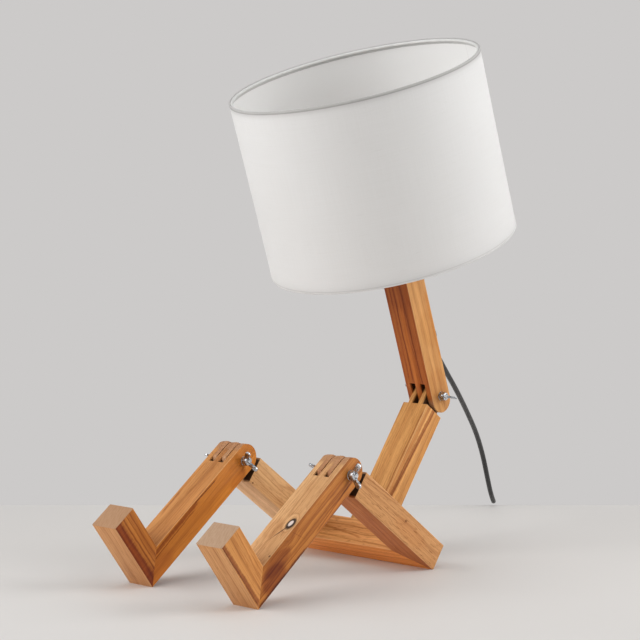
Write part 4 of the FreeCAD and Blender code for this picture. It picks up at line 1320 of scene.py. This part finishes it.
def makeRoom():
    bpy.ops.mesh.primitive_plane_add(size=room["floorSize"], location=(0, 0, 0))
    floor = bpy.context.object
    floor.name = "paleFloor"
    paint = Paint("paleFloor")
    spot = paint.spot()
    cloud = paint.noise(spot, 0.004, 3)
    colour = paint.mix(cloud, room["floorTone"], tuple(c * 0.96 for c in room["floorTone"]))
    seen = paint.node("ShaderNodeLightPath", output="Is Camera Ray")
    colour = paint.mix(seen, room["floorGlow"], colour)  # a pale table throws much light up
    x, y, _ = paint.split(spot)
    far = (x * x + y * y).root().step(room["hazeFrom"], room["hazeTo"]) * seen
    near = paint.node("ShaderNodeBsdfPrincipled", values={"Base Color": colour, "Roughness": 0.6,
                                                          "Specular IOR Level": 0.2})
    haze = paint.node("ShaderNodeEmission", values={0: (*room["wallTone"], 1), 1: 1.0})
    paint.close(paint.node("ShaderNodeMixShader", values={0: far, 1: near, 2: haze}))
    floor.data.materials.append(paint.material)
    right, up, back = viewAxes()
    level = Vector((back.x, back.y, 0)).normalized()
    foot = -level * room["wallBehind"]
    corners = [foot - right * room["wallWide"] / 2, foot + right * room["wallWide"] / 2]
    corners += [corners[1] + Vector((0, 0, room["wallHigh"])), corners[0] + Vector((0, 0, room["wallHigh"]))]
    mesh = bpy.data.meshes.new("backWall")
    mesh.from_pydata(corners, [], [(0, 1, 2, 3)])
    wall = bpy.data.objects.new("backWall", mesh)
    scene.collection.objects.link(wall)
    paint = Paint("backWall")
    paths = paint.node("ShaderNodeLightPath", output="Is Camera Ray")
    behind = paint.node("ShaderNodeNewGeometry", output="Backfacing")
    flat = paint.node("ShaderNodeEmission", values={0: (*room["wallTone"], 1), 1: 1.0})
    clear = paint.node("ShaderNodeBsdfTransparent")
    paint.close(paint.node("ShaderNodeMixShader", values={0: paths * (1 - behind), 1: clear, 2: flat}))
    wall.data.materials.append(paint.material)


class Sky(Paint):
    def __init__(self, world):
        world.use_nodes = True
        self.tree = world.node_tree
        self.tree.nodes.clear()


def makeWorld():
    scene.world = bpy.data.worlds.new("studio")
    sky = Sky(scene.world)
    camera = sky.node("ShaderNodeLightPath", output="Is Camera Ray")
    mirror = sky.node("ShaderNodeLightPath", output="Is Glossy Ray")
    light = sky.node("ShaderNodeBackground", values={0: (1, 1, 1, 1), 1: room["fill"]})
    shown = sky.node("ShaderNodeBackground", values={0: (*room["wallTone"], 1)})
    both = sky.node("ShaderNodeMixShader", values={0: camera.most(mirror), 1: light, 2: shown})
    sky.node("ShaderNodeOutputWorld", values={0: both})


lamps = {  # direction from the lamp in the view's axes: right, up, back; then size and power
    "leftBox": ((-1.6, 0.75, 0.7), (1.4, 1.4), 23.4),
    "rightBox": ((1.7, 0.7, 0.3), (1.2, 1.4), 22.0),
    "overhead": ((0.0, 2.0, 0.2), (1.6, 1.6), 8.2),
}


def makeLights():
    right, up, back = viewAxes()
    level = Vector((back.x, back.y, 0)).normalized()
    aim = Vector((-0.05, 0, 0.28))
    for name, (way, size, power) in lamps.items():
        data = bpy.data.lights.new(name, "AREA")
        data.shape = "RECTANGLE"
        data.size, data.size_y = size
        data.energy = power
        lampPiece = bpy.data.objects.new(name, data)
        scene.collection.objects.link(lampPiece)
        spot = aim + right * way[0] + Vector((0, 0, way[1])) + level * way[2]
        lampPiece.location = spot
        lampPiece.rotation_euler = (aim - spot).to_track_quat("-Z", "Y").to_euler()
        lampPiece.visible_camera = False


makeRoom()
makeWorld()
makeLights()
print("room lit")
